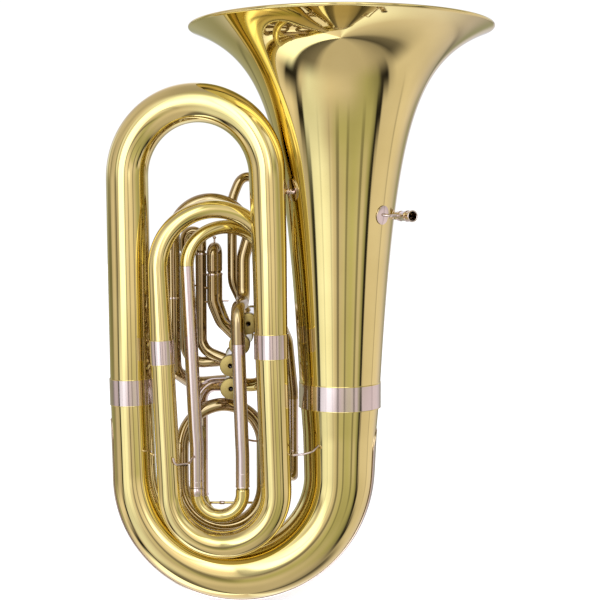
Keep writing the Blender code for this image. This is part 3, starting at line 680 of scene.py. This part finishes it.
def make_water_key():
    pivot = Vector(KEY_PIVOT)
    for side, x in (("left", pivot.x - 5), ("right", pivot.x + 5)):
        bar("water_key_post_" + side, [(x, 67, pivot.z, 2), (x, 76.8, pivot.z, 2)], ROD_SIDES,
            BRASS, "main_tuning_slide")
    across = Vector((2.4, 0, 0))
    bar("water_key_barrel", [(*(pivot - across), 1.8), (*(pivot + across), 1.8)], 20, NICKEL,
        "water_key")
    lever = [(*(pivot + Vector((0, 3.2, 24))), 2), (*(pivot + Vector((0, 1, 4))), 1.3),
             (*(pivot + Vector((0, 0, -4))), 1.3), (*(pivot + Vector((0, -1.5, -10.5))), 1.6)]
    bar("water_key_skin", lever, ROD_SIDES, NICKEL, "water_key", ["water_key"])


def circuit(name, number, port, corners, node):
    """A tube from a valve's port to the end of its fixed sleeve."""
    x, z = VALVES[number]
    route = [(*corner, SMALL_SLEEVE) for corner in [(x, PORTS[port], z)] + corners]
    sweep(name, fillet(route, 30), SLIDE_WALL, SMALL_SIDES, SHADED_INNER_BRASS, "horn", [node],
          valve=number, spacing=3.0, ease=0)


def slide(name, node, first, second, sleeve_end, crook_z, up):
    """A U crook on two thin legs that run into the fixed sleeves."""
    inside = -45 * up
    step = 1.2 * up
    legs = []
    for x, y in (first, second):
        legs.append([(x, y, sleeve_end + inside, SMALL_INNER),
                     (x, y, sleeve_end + 2 * step, SMALL_INNER),
                     (x, y, sleeve_end + 3 * step, SMALL_SLEEVE)])
        line_band("%s_ring_%d" % (name, len(legs)), (x, y, sleeve_end - up * 2), (0, 0, 1),
                  SMALL_SLEEVE, "horn", 3.5)
    crook = half_turn((*first, crook_z, SMALL_SLEEVE), (*second, crook_z, SMALL_SLEEVE), up, 24)
    route = legs[0] + crook + legs[1][::-1]
    sweep(name + "_skin", route, SLIDE_WALL, SMALL_SIDES, SHADED_INNER_BRASS, node, [node],
          spacing=1.2, ease=0)


def tie(name, start, end, mat=NICKEL, radius=1.6, body="horn"):
    """A short rod soldered between two tubes."""
    bar(name, [(*start, radius), (*end, radius)], TIE_SIDES, mat, body)


def make_circuits():
    for label, port, y in (("front", 1, 62), ("rear", 2, 90)):
        corners = [(-40, y, 483), (-22, y, 440), (-13, y, 350), (-13, y, 246)]
        circuit("first_tube_" + label, 1, port, corners, "first_valve_tubes")
        sweep("first_sleeve_" + label, [(-13, y, 340, 9.9), (-13, y, 246, 9.9)], SLEEVE_WALL,
              SMALL_SIDES, NICKEL, "horn", spacing=20, ease=0)
    tie("first_tie", (-13, 70, 300), (-13, 82, 300))
    slide("first_slide", "first_valve_slide", (-13, 62), (-13, 90), 246, 214, -1)

    circuit("second_tube_front", 2, 0, [(-137, 38, 478), (-151, 36, 512), (-151, 36, 562)],
            "second_valve_tubes")
    circuit("second_tube_rear", 2, 1, [(-131, 60, 474), (-145, 60, 512), (-145, 60, 562)],
            "second_valve_tubes")
    tie("second_tie", (-149, 44, 535), (-147, 52, 535), SHADED_INNER_BRASS)
    slide("second_slide", "second_valve_slide", (-151, 36), (-145, 60), 562, 594, 1)

    for label, port, x, z in (("front", 0, -172, 428), ("rear", 1, -199, 404)):
        circuit("third_tube_" + label, 3, port, [(x, 52, z), (x, 52, 597)], "third_valve_tubes")
    tie("third_tie", (-180, 52, 540), (-191, 52, 540), SHADED_INNER_BRASS)
    tie("cross_tie_upper", (-166, 50, 536.5), (-156, 40, 536.5), radius=2.3)
    tie("cross_tie_lower", (-166, 50, 512), (-156, 40, 512))
    tie("leadpipe_tie", (-137, 60, 513), (-125, 60, 513))
    tie("second_slide_stem", (-148, 48, 611), (-148, 48, 622), body="second_valve_slide")
    knob = [(0.05, 0), (2.2, 0.4), (3.1, 1.8), (3.1, 3.4), (2.2, 4.8), (0.05, 5.2)]
    turned("second_slide_knob", knob, (-148, 48, 621), (0, 0, 1), 24, NICKEL, "second_valve_slide")
    slide("third_slide", "third_valve_slide", (-172, 52), (-199, 52), 597, 620, 1)


def make_fourth_tubes():
    large, sleeve = LARGE_TUBE, SLEEVE_RADIUS
    x, z = VALVES[4]
    entry = fillet([(x, PORTS[2], z, large), (-190, 92, 362, large), (-217, 40, 392, large),
                    (-217, 20, 450, large)], 30)
    entry += half_turn((-217, 20, 623.5, large), (-88, 42, 623.5, large), 1)
    tail = [entry[-1], (-98, 42, 590, large), (-98, 42, 512, large), (-105, -32, 508, large),
            (-103.5, -32, 447.3, large)]
    entry += fillet(tail, 22)[1:]
    sweep("fourth_entry_skin", entry, TUBE_WALL, SMALL_SIDES, SHADED_INNER_BRASS, "horn",
          ["fourth_circuit_entry"], valve=4, spacing=4.0, ease=4.0)
    right = [(-103.5, FOURTH_Y, 447, sleeve), (-98, FOURTH_Y, 282, sleeve),
             (FOURTH_RIGHT_X, FOURTH_Y, 262, sleeve),
             (FOURTH_RIGHT_X, FOURTH_Y, FOURTH_SLEEVE_END, sleeve)]
    sweep("fourth_sleeve_right_skin", right, SLIDE_WALL, SMALL_SIDES, NICKEL, "horn",
          ["fourth_sleeve_right"])
    left = [(-188.5, FOURTH_Y, 578, sleeve), (-176, FOURTH_Y, 300, sleeve),
            (FOURTH_LEFT_X, FOURTH_Y, 280, sleeve),
            (FOURTH_LEFT_X, FOURTH_Y, FOURTH_SLEEVE_END, sleeve)]
    sweep("fourth_sleeve_left_skin", left, SLIDE_WALL, SMALL_SIDES, NICKEL, "horn",
          ["fourth_sleeve_left"])
    back = [(-188.6, FOURTH_Y, 578.3, sleeve)]
    back += half_turn((-188.7, FOURTH_Y, 581.7, sleeve), (-60, 22, 581.7, large), 1, height=61.5)
    end = [back[-1], (-57, 24, 500, large), (-57, 26, z, large), (x, PORTS[0], z, large)]
    back += fillet(end, 28)[1:]
    sweep("fourth_return_skin", back[::-1], TUBE_WALL, SMALL_SIDES, BRASS, "horn",
          ["fourth_circuit_return"], valve=4, spacing=4.0, ease=4.0)


def make_fourth_slide():
    body = "fourth_valve_slide"
    up = (0, 0, 1)
    legs = []
    for side, x in (("left", FOURTH_LEFT_X), ("right", FOURTH_RIGHT_X)):
        legs.append([(x, FOURTH_Y, 258, INNER_LEG), (x, FOURTH_Y, 202, INNER_LEG),
                     (x, FOURTH_Y, 200.6, SLEEVE_RADIUS)])
        line_band("fourth_ring_" + side, (x, FOURTH_Y, 205.2), up, SLEEVE_RADIUS, "horn", 2,
                  proud=0.3)
    for name, x, z, band_body, width in (
            ("fourth_joint_left", FOURTH_LEFT_X, 214, "horn", 1.2),
            ("fourth_joint_right", FOURTH_RIGHT_X, 228, "horn", 1.2),
            ("fourth_slide_cuff", FOURTH_LEFT_X, 196.9, body, 13)):
        line_band(name, (x, FOURTH_Y, z), up, SLEEVE_RADIUS, band_body, width, proud=0.35)
    saucer = [(0.05, -3), (15.2, -3), (16.2, -2.2), (16.2, 1.6), (15.4, 2.4), (13.6, 2.4),
              (13, 1.6), (0.05, 1.6)]
    turned("bow_saucer", saucer[::-1], (-179, 30, 284.5), (0, -1, 0), 56, CAP, "horn")
    line_band("fourth_entry_ring", (-217, 20, 520.8), up, LARGE_TUBE, "horn", 3.6, proud=0.9)
    bow = half_turn((FOURTH_LEFT_X, FOURTH_Y, FOURTH_CROOK_Z, SLEEVE_RADIUS),
                    (FOURTH_RIGHT_X, FOURTH_Y, FOURTH_CROOK_Z, SLEEVE_RADIUS), -1)
    sweep("fourth_slide_skin", legs[0] + bow + legs[1][::-1], SLIDE_WALL, SMALL_SIDES, BRASS,
          body, [body], spacing=1.3, ease=0)


# ---------------- valves
def make_valve(number):
    x, z = VALVES[number]
    axis = (0, 1, 0)
    length = CASING_BACK - CASING_FRONT
    casing = [(CASING_BORE, 0), (CASING_RADIUS, 0), (CASING_RADIUS, length), (CASING_BORE, length)]
    turned("casing_skin_%d" % number, casing, (x, CASING_FRONT, z), axis, 64, NICKEL, "horn",
           ["valve_casing_%d" % number])
    if number < 4:
        start, after = Vector((x, PORTS[(number + 1) % 3], z)), VALVES[number + 1]
        end = Vector((after[0], start.y, after[1]))
        along = (end - start).normalized()
        reach = (end - start).length
        turned("knuckle_%d" % number, rounded_ring(8.6, 10, 14.2, reach - 17.2), start, along,
               BAND_SEGMENTS, BRASS, "horn")
    low = [(3.9, 4), (3.9, 0.6), (4.5, 0), (16.6, 0), (17.5, 0.5), (CAP_RADIUS, 1.4),
           (CAP_RADIUS, 3), (17.6, 3.4), (17.6, 16.6), (CAP_RADIUS, 17), (CAP_RADIUS, 18),
           (16.7, 18), (16.7, 4)]
    turned("bottom_cap_skin_%d" % number, low, (x, CAP_FACE, z), axis, LARGE_SIDES, CAP, "horn",
           ["bottom_cap_%d" % number])
    top = [(16.7, -12), (17.9, -12), (17.9, -10.5), (17.3, -10), (17.3, 2.4), (17.9, 3),
           (17.9, 3.8), (17, 4.5), (6.5, 4.5), (3.8, 3.2), (3.8, 0), (16.7, 0)]
    turned("top_cap_skin_%d" % number, top, (x, CASING_BACK + 0.3, z), axis, LARGE_SIDES, CAP,
           "horn", ["top_cap_%d" % number])
    piston = "piston_%d" % number
    felt = rounded_ring(3.5, 7.4, 0, 2.6, 0.6)
    turned("button_felt_%d" % number, felt, (x, BUTTON_Y - 3.0, z), axis, SMALL_SIDES, FELT, piston)
    rim = [(0.6, 0), (8.6, 0), (10.6, 1.0), (11, 2.0), (11, 4.0), (10.4, 5.2), (9.6, 5.4),
           (9.3, 4.6), (0.6, 4.6)]
    turned("button_rim_%d" % number, rim, (x, BUTTON_Y, z), axis, MIDDLE_SIDES, BRASS, piston,
           ["finger_button_%d" % number])
    disc = [(0.05, 4.7), (9.1, 4.7), (9.1, 5.0), (6, 5.35), (0.05, 5.45)]
    turned("button_pearl_%d" % number, disc, (x, BUTTON_Y, z), axis, MIDDLE_SIDES, PEARL, piston)


# ---------------- leadpipe and receiver
RECEIVER_END = (189, -13, 661)
WRAP_RADIUS = 112
LEADPIPE_RADIUS = 8.3


def make_leadpipe():
    end = Vector(RECEIVER_END)
    inward = (Vector((160, 46, 661)) - end).normalized()
    corners = [(*(end + inward * 47.2), 7), (156, 60, 662, 7)]
    for degrees in (50, 74, 98, 120):
        angle = math.radians(degrees)
        share = (degrees - 30) / 90
        corners.append((BELL_X + WRAP_RADIUS * math.cos(angle), WRAP_RADIUS * math.sin(angle),
                        662 + 26 * share, 7 + share))
    x, z = VALVES[1]
    down = [(-62, 76, 717), (-100, 66, 737), (-118, 60, 690), (-118, 60, 545), (x, PORTS[1], z)]
    path = fillet(corners + [(*corner, LEADPIPE_RADIUS) for corner in down], 24)
    sweep("leadpipe_skin", path[::-1], SLIDE_WALL, SMALL_SIDES, SHADED_INNER_BRASS, "horn",
          ["leadpipe"], valve=1, spacing=3.0, ease=6.0)
    receiver = [(7.9, 0), (8.4, 0.4), (9.2, 0.4), (9.8, -0.2), (9.8, -3.6), (9.2, -4.2),
                (8.5, -4.8), (8.3, -13.4), (8.8, -14), (9.5, -14.8), (9.5, -17.2), (8.8, -18),
                (8.4, -18.8), (8.0, -36), (8.9, -36.8), (8.9, -38.6), (8.0, -39.4), (7.9, -44.5),
                (8.2, -45.5), (7.4, -46), (6.0, -46)]
    turned("receiver_skin", receiver[::-1], end, -inward, MIDDLE_SIDES, NICKEL, "horn",
           ["mouthpiece_receiver"])


def flank_plate(name, center_z, angle, half_width, half_height, nodes=()):
    """An oval plate that hugs the bell."""
    columns, rows = 40, 8
    verts = []
    for lift, edge_drop in ((0.5, 0), (2.0, 0.5)):
        for row in range(1, rows + 1):
            share = row / rows
            for k in range(columns):
                turn = 2 * math.pi * k / columns
                wide = half_width * share * math.cos(turn)
                z = center_z + half_height * share * math.sin(turn)
                radius = flare_eased(RIM_Z - z) + lift - edge_drop * share ** 6
                around = angle + wide / radius
                verts.append(Vector((BELL_X + radius * math.cos(around),
                                     radius * math.sin(around), z)) * MM)
    faces = []
    layer = rows * columns
    for offset, flip in ((0, True), (layer, False)):
        for row in range(rows - 1):
            faces += join_rings(offset + row * columns, offset + (row + 1) * columns, columns, flip)
        middle = tuple(offset + k for k in range(columns))
        faces.append(middle[::-1] if flip else middle)
    faces += join_rings((rows - 1) * columns, layer + (rows - 1) * columns, columns, True)
    plate = add_piece(name, verts, faces, NICKEL, "horn", nodes)
    face_outward(plate)


def make_receiver_brace():
    flank_plate("receiver_plate_skin", 663.0, math.atan2(-62, 67), 15.0, 15.5,
                ["receiver_brace"])
    arm = [(135.5, -62.5, 663, 2.2), (147, -68, 662, 2.2), (169.6, 3.6, 661, 2.2)]
    bar("receiver_arm", fillet(arm, 6), ROD_SIDES, NICKEL, "horn")


# ---------------- braces
def wire_brace(node, corners, radius=1.8):
    rows = [(*corner, radius) for corner in corners]
    bar(node + "_skin", fillet(rows, 6), ROD_SIDES, NICKEL, "horn", [node])


def make_braces():
    wire_brace("bell_brace_upper", [(-23, -63, 702), (-11.5, -57, 700)], 3)
    flank_plate("bell_brace_plate", 704, math.atan2(-55, -81), 14, 19)
    along = Vector((11.5, 6, -2)).normalized()
    for label, place, reach in (("outer", 2.0, 1.6), ("inner", 6.0, 2.4)):
        turned("bell_brace_ring_" + label, rounded_ring(2.8, 3.4 + reach, -1, 1, 0.4),
               Vector((-23, -63, 702)) + along * place, along, 28, NICKEL, "horn")
    wire_brace("bell_brace_lower", [(-13, -60, 265), (4, -66, 267), (21, -62, 271), (31, -51, 279)])
    wire_brace("left_brace", [(-251, -36, 266), (-250, -48, 265), (-242.5, -58, 264)])
    wire_brace("slide_brace", [(-209, -80, 264), (-206, -80, 252), (-184, -66, 252),
                               (-179, -46, 258)])
    wire_brace("inner_brace", [(-86.7, -28, 284), (-80, -20, 281), (-73.2, -12, 279)])


# ---------------- springs and pistons
def make_spring(number):
    """A coil between the bottom cap and the piston."""
    x, z = VALVES[number]
    turns, steps = 4, 24
    count = turns * steps
    coil = []
    for step in range(count + 1):
        angle = 2 * math.pi * step / steps
        depth = SPRING_LOW + (SPRING_HIGH - SPRING_LOW) * step / count
        coil.append((x + SPRING_RADIUS * math.cos(angle), depth,
                     z + SPRING_RADIUS * math.sin(angle), SPRING_WIRE))
    spring = bar("spring_skin_%d" % number, coil, 8, STEEL, "horn", ["valve_spring_%d" % number])
    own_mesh(spring)


def finish_pistons():
    for number in VALVES:
        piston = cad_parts["piston_%d" % number]
        piston.data.materials.clear()
        piston.data.materials.append(NICKEL)


# ---------------- studio
BEIGE = (1.04, 0.95, 1.02)
OLIVE = (1.0, 1.0, 0.72)
WHITE = (1.0, 1.05, 1.2)
# The studio round the metal, in bands by height: the sine of the height at each band's middle, then
# (degrees round from the viewer, brightness, tint) across it.
STUDIO = [
    (-0.87, [(-180, 0.9, BEIGE), (-140, 1.1, BEIGE), (-132, 2.0, WHITE), (-84, 1.9, WHITE),
             (-78, 0.12, BEIGE), (-50, 0.25, BEIGE), (-36, 0.65, BEIGE), (40, 0.62, BEIGE),
             (80, 0.35, BEIGE), (90, 0.1, BEIGE), (108, 0.2, BEIGE), (120, 0.5, BEIGE),
             (150, 0.8, BEIGE), (166, 1.4, WHITE), (180, 0.9, BEIGE)]),
    (-0.67, [(-180, 1.1, WHITE), (-150, 0.8, BEIGE), (-104, 0.95, BEIGE), (-94, 0.5, BEIGE),
             (-90, 0.02, BEIGE), (-74, 0.03, BEIGE), (-68, 0.7, BEIGE), (-54, 1.0, WHITE),
             (-20, 0.85, BEIGE), (10, 0.72, BEIGE), (40, 0.5, OLIVE), (58, 0.3, OLIVE),
             (64, 0.04, BEIGE), (74, 0.02, BEIGE), (77, 0.5, BEIGE), (88, 0.8, BEIGE),
             (150, 0.82, BEIGE), (180, 1.1, WHITE)]),
    (-0.42, [(-180, 0.6, BEIGE), (-168, 0.36, OLIVE), (-130, 0.33, OLIVE), (-116, 0.5, OLIVE),
             (-110, 0.95, BEIGE), (-84, 1.0, BEIGE), (-75, 0.6, BEIGE), (-73, 0.02, BEIGE),
             (-66, 0.02, BEIGE), (-64, 0.9, WHITE), (-42, 0.95, WHITE), (-22, 0.62, BEIGE),
             (-6, 0.5, OLIVE), (20, 0.48, OLIVE), (38, 0.5, OLIVE), (50, 0.5, OLIVE),
             (57, 0.3, OLIVE), (59, 0.02, BEIGE), (66, 0.02, BEIGE), (68, 0.7, BEIGE),
             (110, 0.85, BEIGE), (145, 0.68, BEIGE), (165, 0.5, BEIGE), (180, 0.6, BEIGE)]),
    (-0.19, [(-180, 0.45, OLIVE), (-150, 0.4, OLIVE), (-110, 0.32, OLIVE), (-95, 0.5, BEIGE),
             (-86, 0.7, BEIGE), (-68, 0.6, BEIGE), (-66, 0.3, OLIVE), (-64, 0.02, BEIGE),
             (-59, 0.02, BEIGE), (-57, 1.1, WHITE), (-44, 1.3, WHITE), (-26, 1.2, WHITE),
             (-16, 0.75, BEIGE), (-4, 0.56, BEIGE), (24, 0.58, OLIVE), (46, 0.66, BEIGE),
             (52, 0.4, OLIVE), (54.5, 0.3, OLIVE), (56, 0.02, BEIGE), (61, 0.02, BEIGE),
             (63, 0.75, BEIGE), (90, 0.85, BEIGE), (125, 0.85, BEIGE), (142, 0.6, BEIGE),
             (158, 0.32, OLIVE), (180, 0.45, OLIVE)]),
    (-0.06, [(-180, 0.4, OLIVE), (-140, 0.4, OLIVE), (-118, 0.2, OLIVE), (-100, 0.25, OLIVE),
             (-92, 0.7, BEIGE), (-74, 0.85, BEIGE), (-62, 0.35, BEIGE), (-58, 0.1, BEIGE),
             (-52, 0.7, BEIGE), (-46, 0.5, BEIGE), (-40, 1.8, WHITE), (-20, 2.3, WHITE),
             (-10, 1.3, WHITE), (-2, 0.85, BEIGE), (10, 0.75, BEIGE), (22, 0.9, BEIGE),
             (44, 0.7, BEIGE), (60, 0.55, OLIVE), (70, 0.4, OLIVE), (90, 0.6, BEIGE),
             (105, 0.65, BEIGE), (130, 0.6, BEIGE), (145, 0.35, OLIVE), (160, 0.7, BEIGE),
             (180, 0.4, OLIVE)]),
    (0.12, [(-180, 0.9, WHITE), (-160, 0.6, BEIGE), (-130, 0.95, WHITE), (-118, 0.4, OLIVE),
            (-110, 0.8, BEIGE), (-98, 0.8, BEIGE), (-94, 0.15, OLIVE), (-88, 0.6, BEIGE),
            (-66, 0.75, BEIGE), (-58, 0.25, OLIVE), (-54, 1.3, WHITE), (-44, 0.7, BEIGE),
            (-38, 2.2, WHITE), (-12, 2.6, WHITE), (-4, 0.95, BEIGE), (8, 1.1, BEIGE),
            (12, 2.4, WHITE), (20, 2.2, WHITE), (26, 0.85, BEIGE), (44, 0.55, OLIVE),
            (60, 0.3, OLIVE), (76, 0.65, BEIGE), (94, 0.25, OLIVE), (110, 0.6, BEIGE),
            (140, 1.1, WHITE), (160, 0.5, BEIGE), (180, 0.9, WHITE)]),
    (0.5, [(-180, 1.2, WHITE), (-160, 0.9, BEIGE), (-140, 0.6, BEIGE), (-100, 0.75, BEIGE),
           (-80, 0.55, BEIGE), (-60, 0.85, BEIGE), (-40, 1.2, WHITE), (-14, 2.4, WHITE),
           (14, 2.6, WHITE), (20, 0.7, OLIVE), (40, 0.8, BEIGE), (56, 1.2, WHITE), (68, 0.5, BEIGE),
           (82, 0.2, OLIVE), (100, 0.5, OLIVE), (120, 1.0, BEIGE), (140, 0.3, OLIVE),
           (160, 0.7, BEIGE), (180, 1.2, WHITE)]),
    (0.8, [(-180, 0.7, BEIGE), (-90, 0.6, BEIGE), (-50, 0.5, BEIGE), (0, 0.7, OLIVE),
           (40, 0.75, BEIGE), (90, 0.6, BEIGE), (140, 0.3, OLIVE), (180, 0.7, BEIGE)]),
    (0.95, [(-180, 0.55, BEIGE), (0, 0.45, BEIGE), (180, 0.55, BEIGE)]),
]

# Thin flags and gaps between the softboxes: (degrees round from the viewer, multiplier).
STRIPES = [(-180, 1), (-150, 1), (-148, 0.5), (-144, 1.1), (-104, 1), (-102, 0.45), (-99, 1),
           (-43, 1), (-41, 0.7), (-39, 1.1), (-24, 1.05), (-22, 0.7), (-20, 1.15), (-11, 1.1),
           (-9.5, 0.5), (-5.5, 0.45), (-4, 1.25), (8, 1.3), (10, 0.5), (12.5, 0.6), (14, 1.1),
           (34, 1.15), (36, 0.5), (39.5, 0.5), (41, 1.15), (98, 1), (100, 0.6), (103, 1.1),
           (150, 1), (153, 0.5), (157, 1)]

# The stripes fade out between these sines of the height above or below the horizon, so that they
# don't pinch together where a bow's underside looks straight down.
STRIPES_FULL = 0.25
STRIPES_GONE = 0.62


def mix_colors(nodes, links, factor, first, second, blend="MIX"):
    """A colour Mix node, whose colour sockets are inputs 6 and 7 and output 2."""
    node = nodes.new("ShaderNodeMix")
    node.data_type = "RGBA"
    node.blend_type = blend
    links.new(factor, node.inputs["Factor"])
    links.new(first, node.inputs[6])
    links.new(second, node.inputs[7])
    return node.outputs[2]


def compute(nodes, links, operation, first, second=None):
    """A Math node on one or two sources, the second of which may be a number."""
    node = nodes.new("ShaderNodeMath")
    node.operation = operation
    links.new(first, node.inputs[0])
    if isinstance(second, (int, float)):
        node.inputs[1].default_value = second
    elif second is not None:
        links.new(second, node.inputs[1])
    return node.outputs[0]


def make_world():
    """A plain white room for the eye, and softboxes and dark flags for the metal to reflect."""
    world = bpy.data.worlds.new("studio")
    bpy.context.scene.world = world
    world.use_nodes = True
    nodes, links = world.node_tree.nodes, world.node_tree.links
    nodes.clear()
    coords = nodes.new("ShaderNodeTexCoord")
    split = nodes.new("ShaderNodeSeparateXYZ")
    links.new(coords.outputs["Generated"], split.inputs["Vector"])
    towards_viewer = compute(nodes, links, "MULTIPLY", split.outputs["Y"], -1)
    azimuth = compute(nodes, links, "ARCTAN2", split.outputs["X"], towards_viewer)
    share = remap(nodes, links, azimuth, -math.pi, math.pi)

    def band(stops):
        scaled = [((degrees + 180) / 360, tuple(level * part for part in tint))
                  for degrees, level, tint in stops]
        return ramp(nodes, links, share, scaled)

    pattern = band(STUDIO[0][1])
    for (below, _), (above, stops) in zip(STUDIO, STUDIO[1:]):
        fade = remap(nodes, links, split.outputs["Z"], below, above, kind="SMOOTHSTEP")
        pattern = mix_colors(nodes, links, fade, pattern, band(stops))
    steep = compute(nodes, links, "ABSOLUTE", split.outputs["Z"])
    fade = remap(nodes, links, steep, STRIPES_FULL, STRIPES_GONE, 1, 0, "SMOOTHSTEP")
    lines = band([(degrees, level, (1, 1, 1)) for degrees, level in STRIPES])
    pattern = mix_colors(nodes, links, fade, pattern, lines, "MULTIPLY")

    room = nodes.new("ShaderNodeBackground")
    room.inputs["Color"].default_value = (1, 1, 1, 1)
    room.inputs["Strength"].default_value = ROOM_STRENGTH
    mirror = nodes.new("ShaderNodeBackground")
    mirror.inputs["Strength"].default_value = MIRROR_STRENGTH
    links.new(pattern, mirror.inputs["Color"])
    path = nodes.new("ShaderNodeLightPath")
    choose = nodes.new("ShaderNodeMixShader")
    links.new(path.outputs["Is Camera Ray"], choose.inputs["Fac"])
    links.new(mirror.outputs[0], choose.inputs[1])
    links.new(room.outputs[0], choose.inputs[2])
    output = nodes.new("ShaderNodeOutputWorld")
    links.new(choose.outputs[0], output.inputs["Surface"])


def make_floor():
    mesh = bpy.data.meshes.new("floor")
    near, far = -FLOOR_REACH, FLOOR_REACH
    mesh.from_pydata([(near, near, 0), (far, near, 0), (far, far, 0), (near, far, 0)], [],
                     [(0, 1, 2, 3)])
    floor = bpy.data.objects.new("floor", mesh)
    bpy.context.scene.collection.objects.link(floor)
    mat, _, _, shader = new_material("pale_floor")
    shader.inputs["Base Color"].default_value = (0.86, 0.86, 0.86, 1)
    shader.inputs["Roughness"].default_value = 0.9
    shader.inputs["Emission Color"].default_value = (1, 1, 1, 1)
    shader.inputs["Emission Strength"].default_value = FLOOR_GLOW
    mesh.materials.append(mat)
    floor.visible_glossy = False


def make_camera():
    camera = bpy.data.objects.new("camera", bpy.data.cameras.new("camera"))
    bpy.context.scene.collection.objects.link(camera)
    camera.data.sensor_width = CAMERA_SENSOR
    camera.data.lens = CAMERA_LENS
    camera.location = CAMERA_PLACE
    camera.rotation_euler = (math.radians(90 - CAMERA_TILT), 0, 0)
    bpy.context.scene.camera = camera
    bpy.context.scene.view_settings.view_transform = "Standard"


make_camera()
make_world()
make_floor()
BELL_FOOT = make_bell()
make_bows(BELL_FOOT)
make_main_sleeves()
make_main_slide()
make_water_key()
make_circuits()
make_fourth_tubes()
make_fourth_slide()
for valve_number in VALVES:
    make_valve(valve_number)
    make_spring(valve_number)
make_leadpipe()
make_receiver_brace()
make_braces()
finish_pistons()
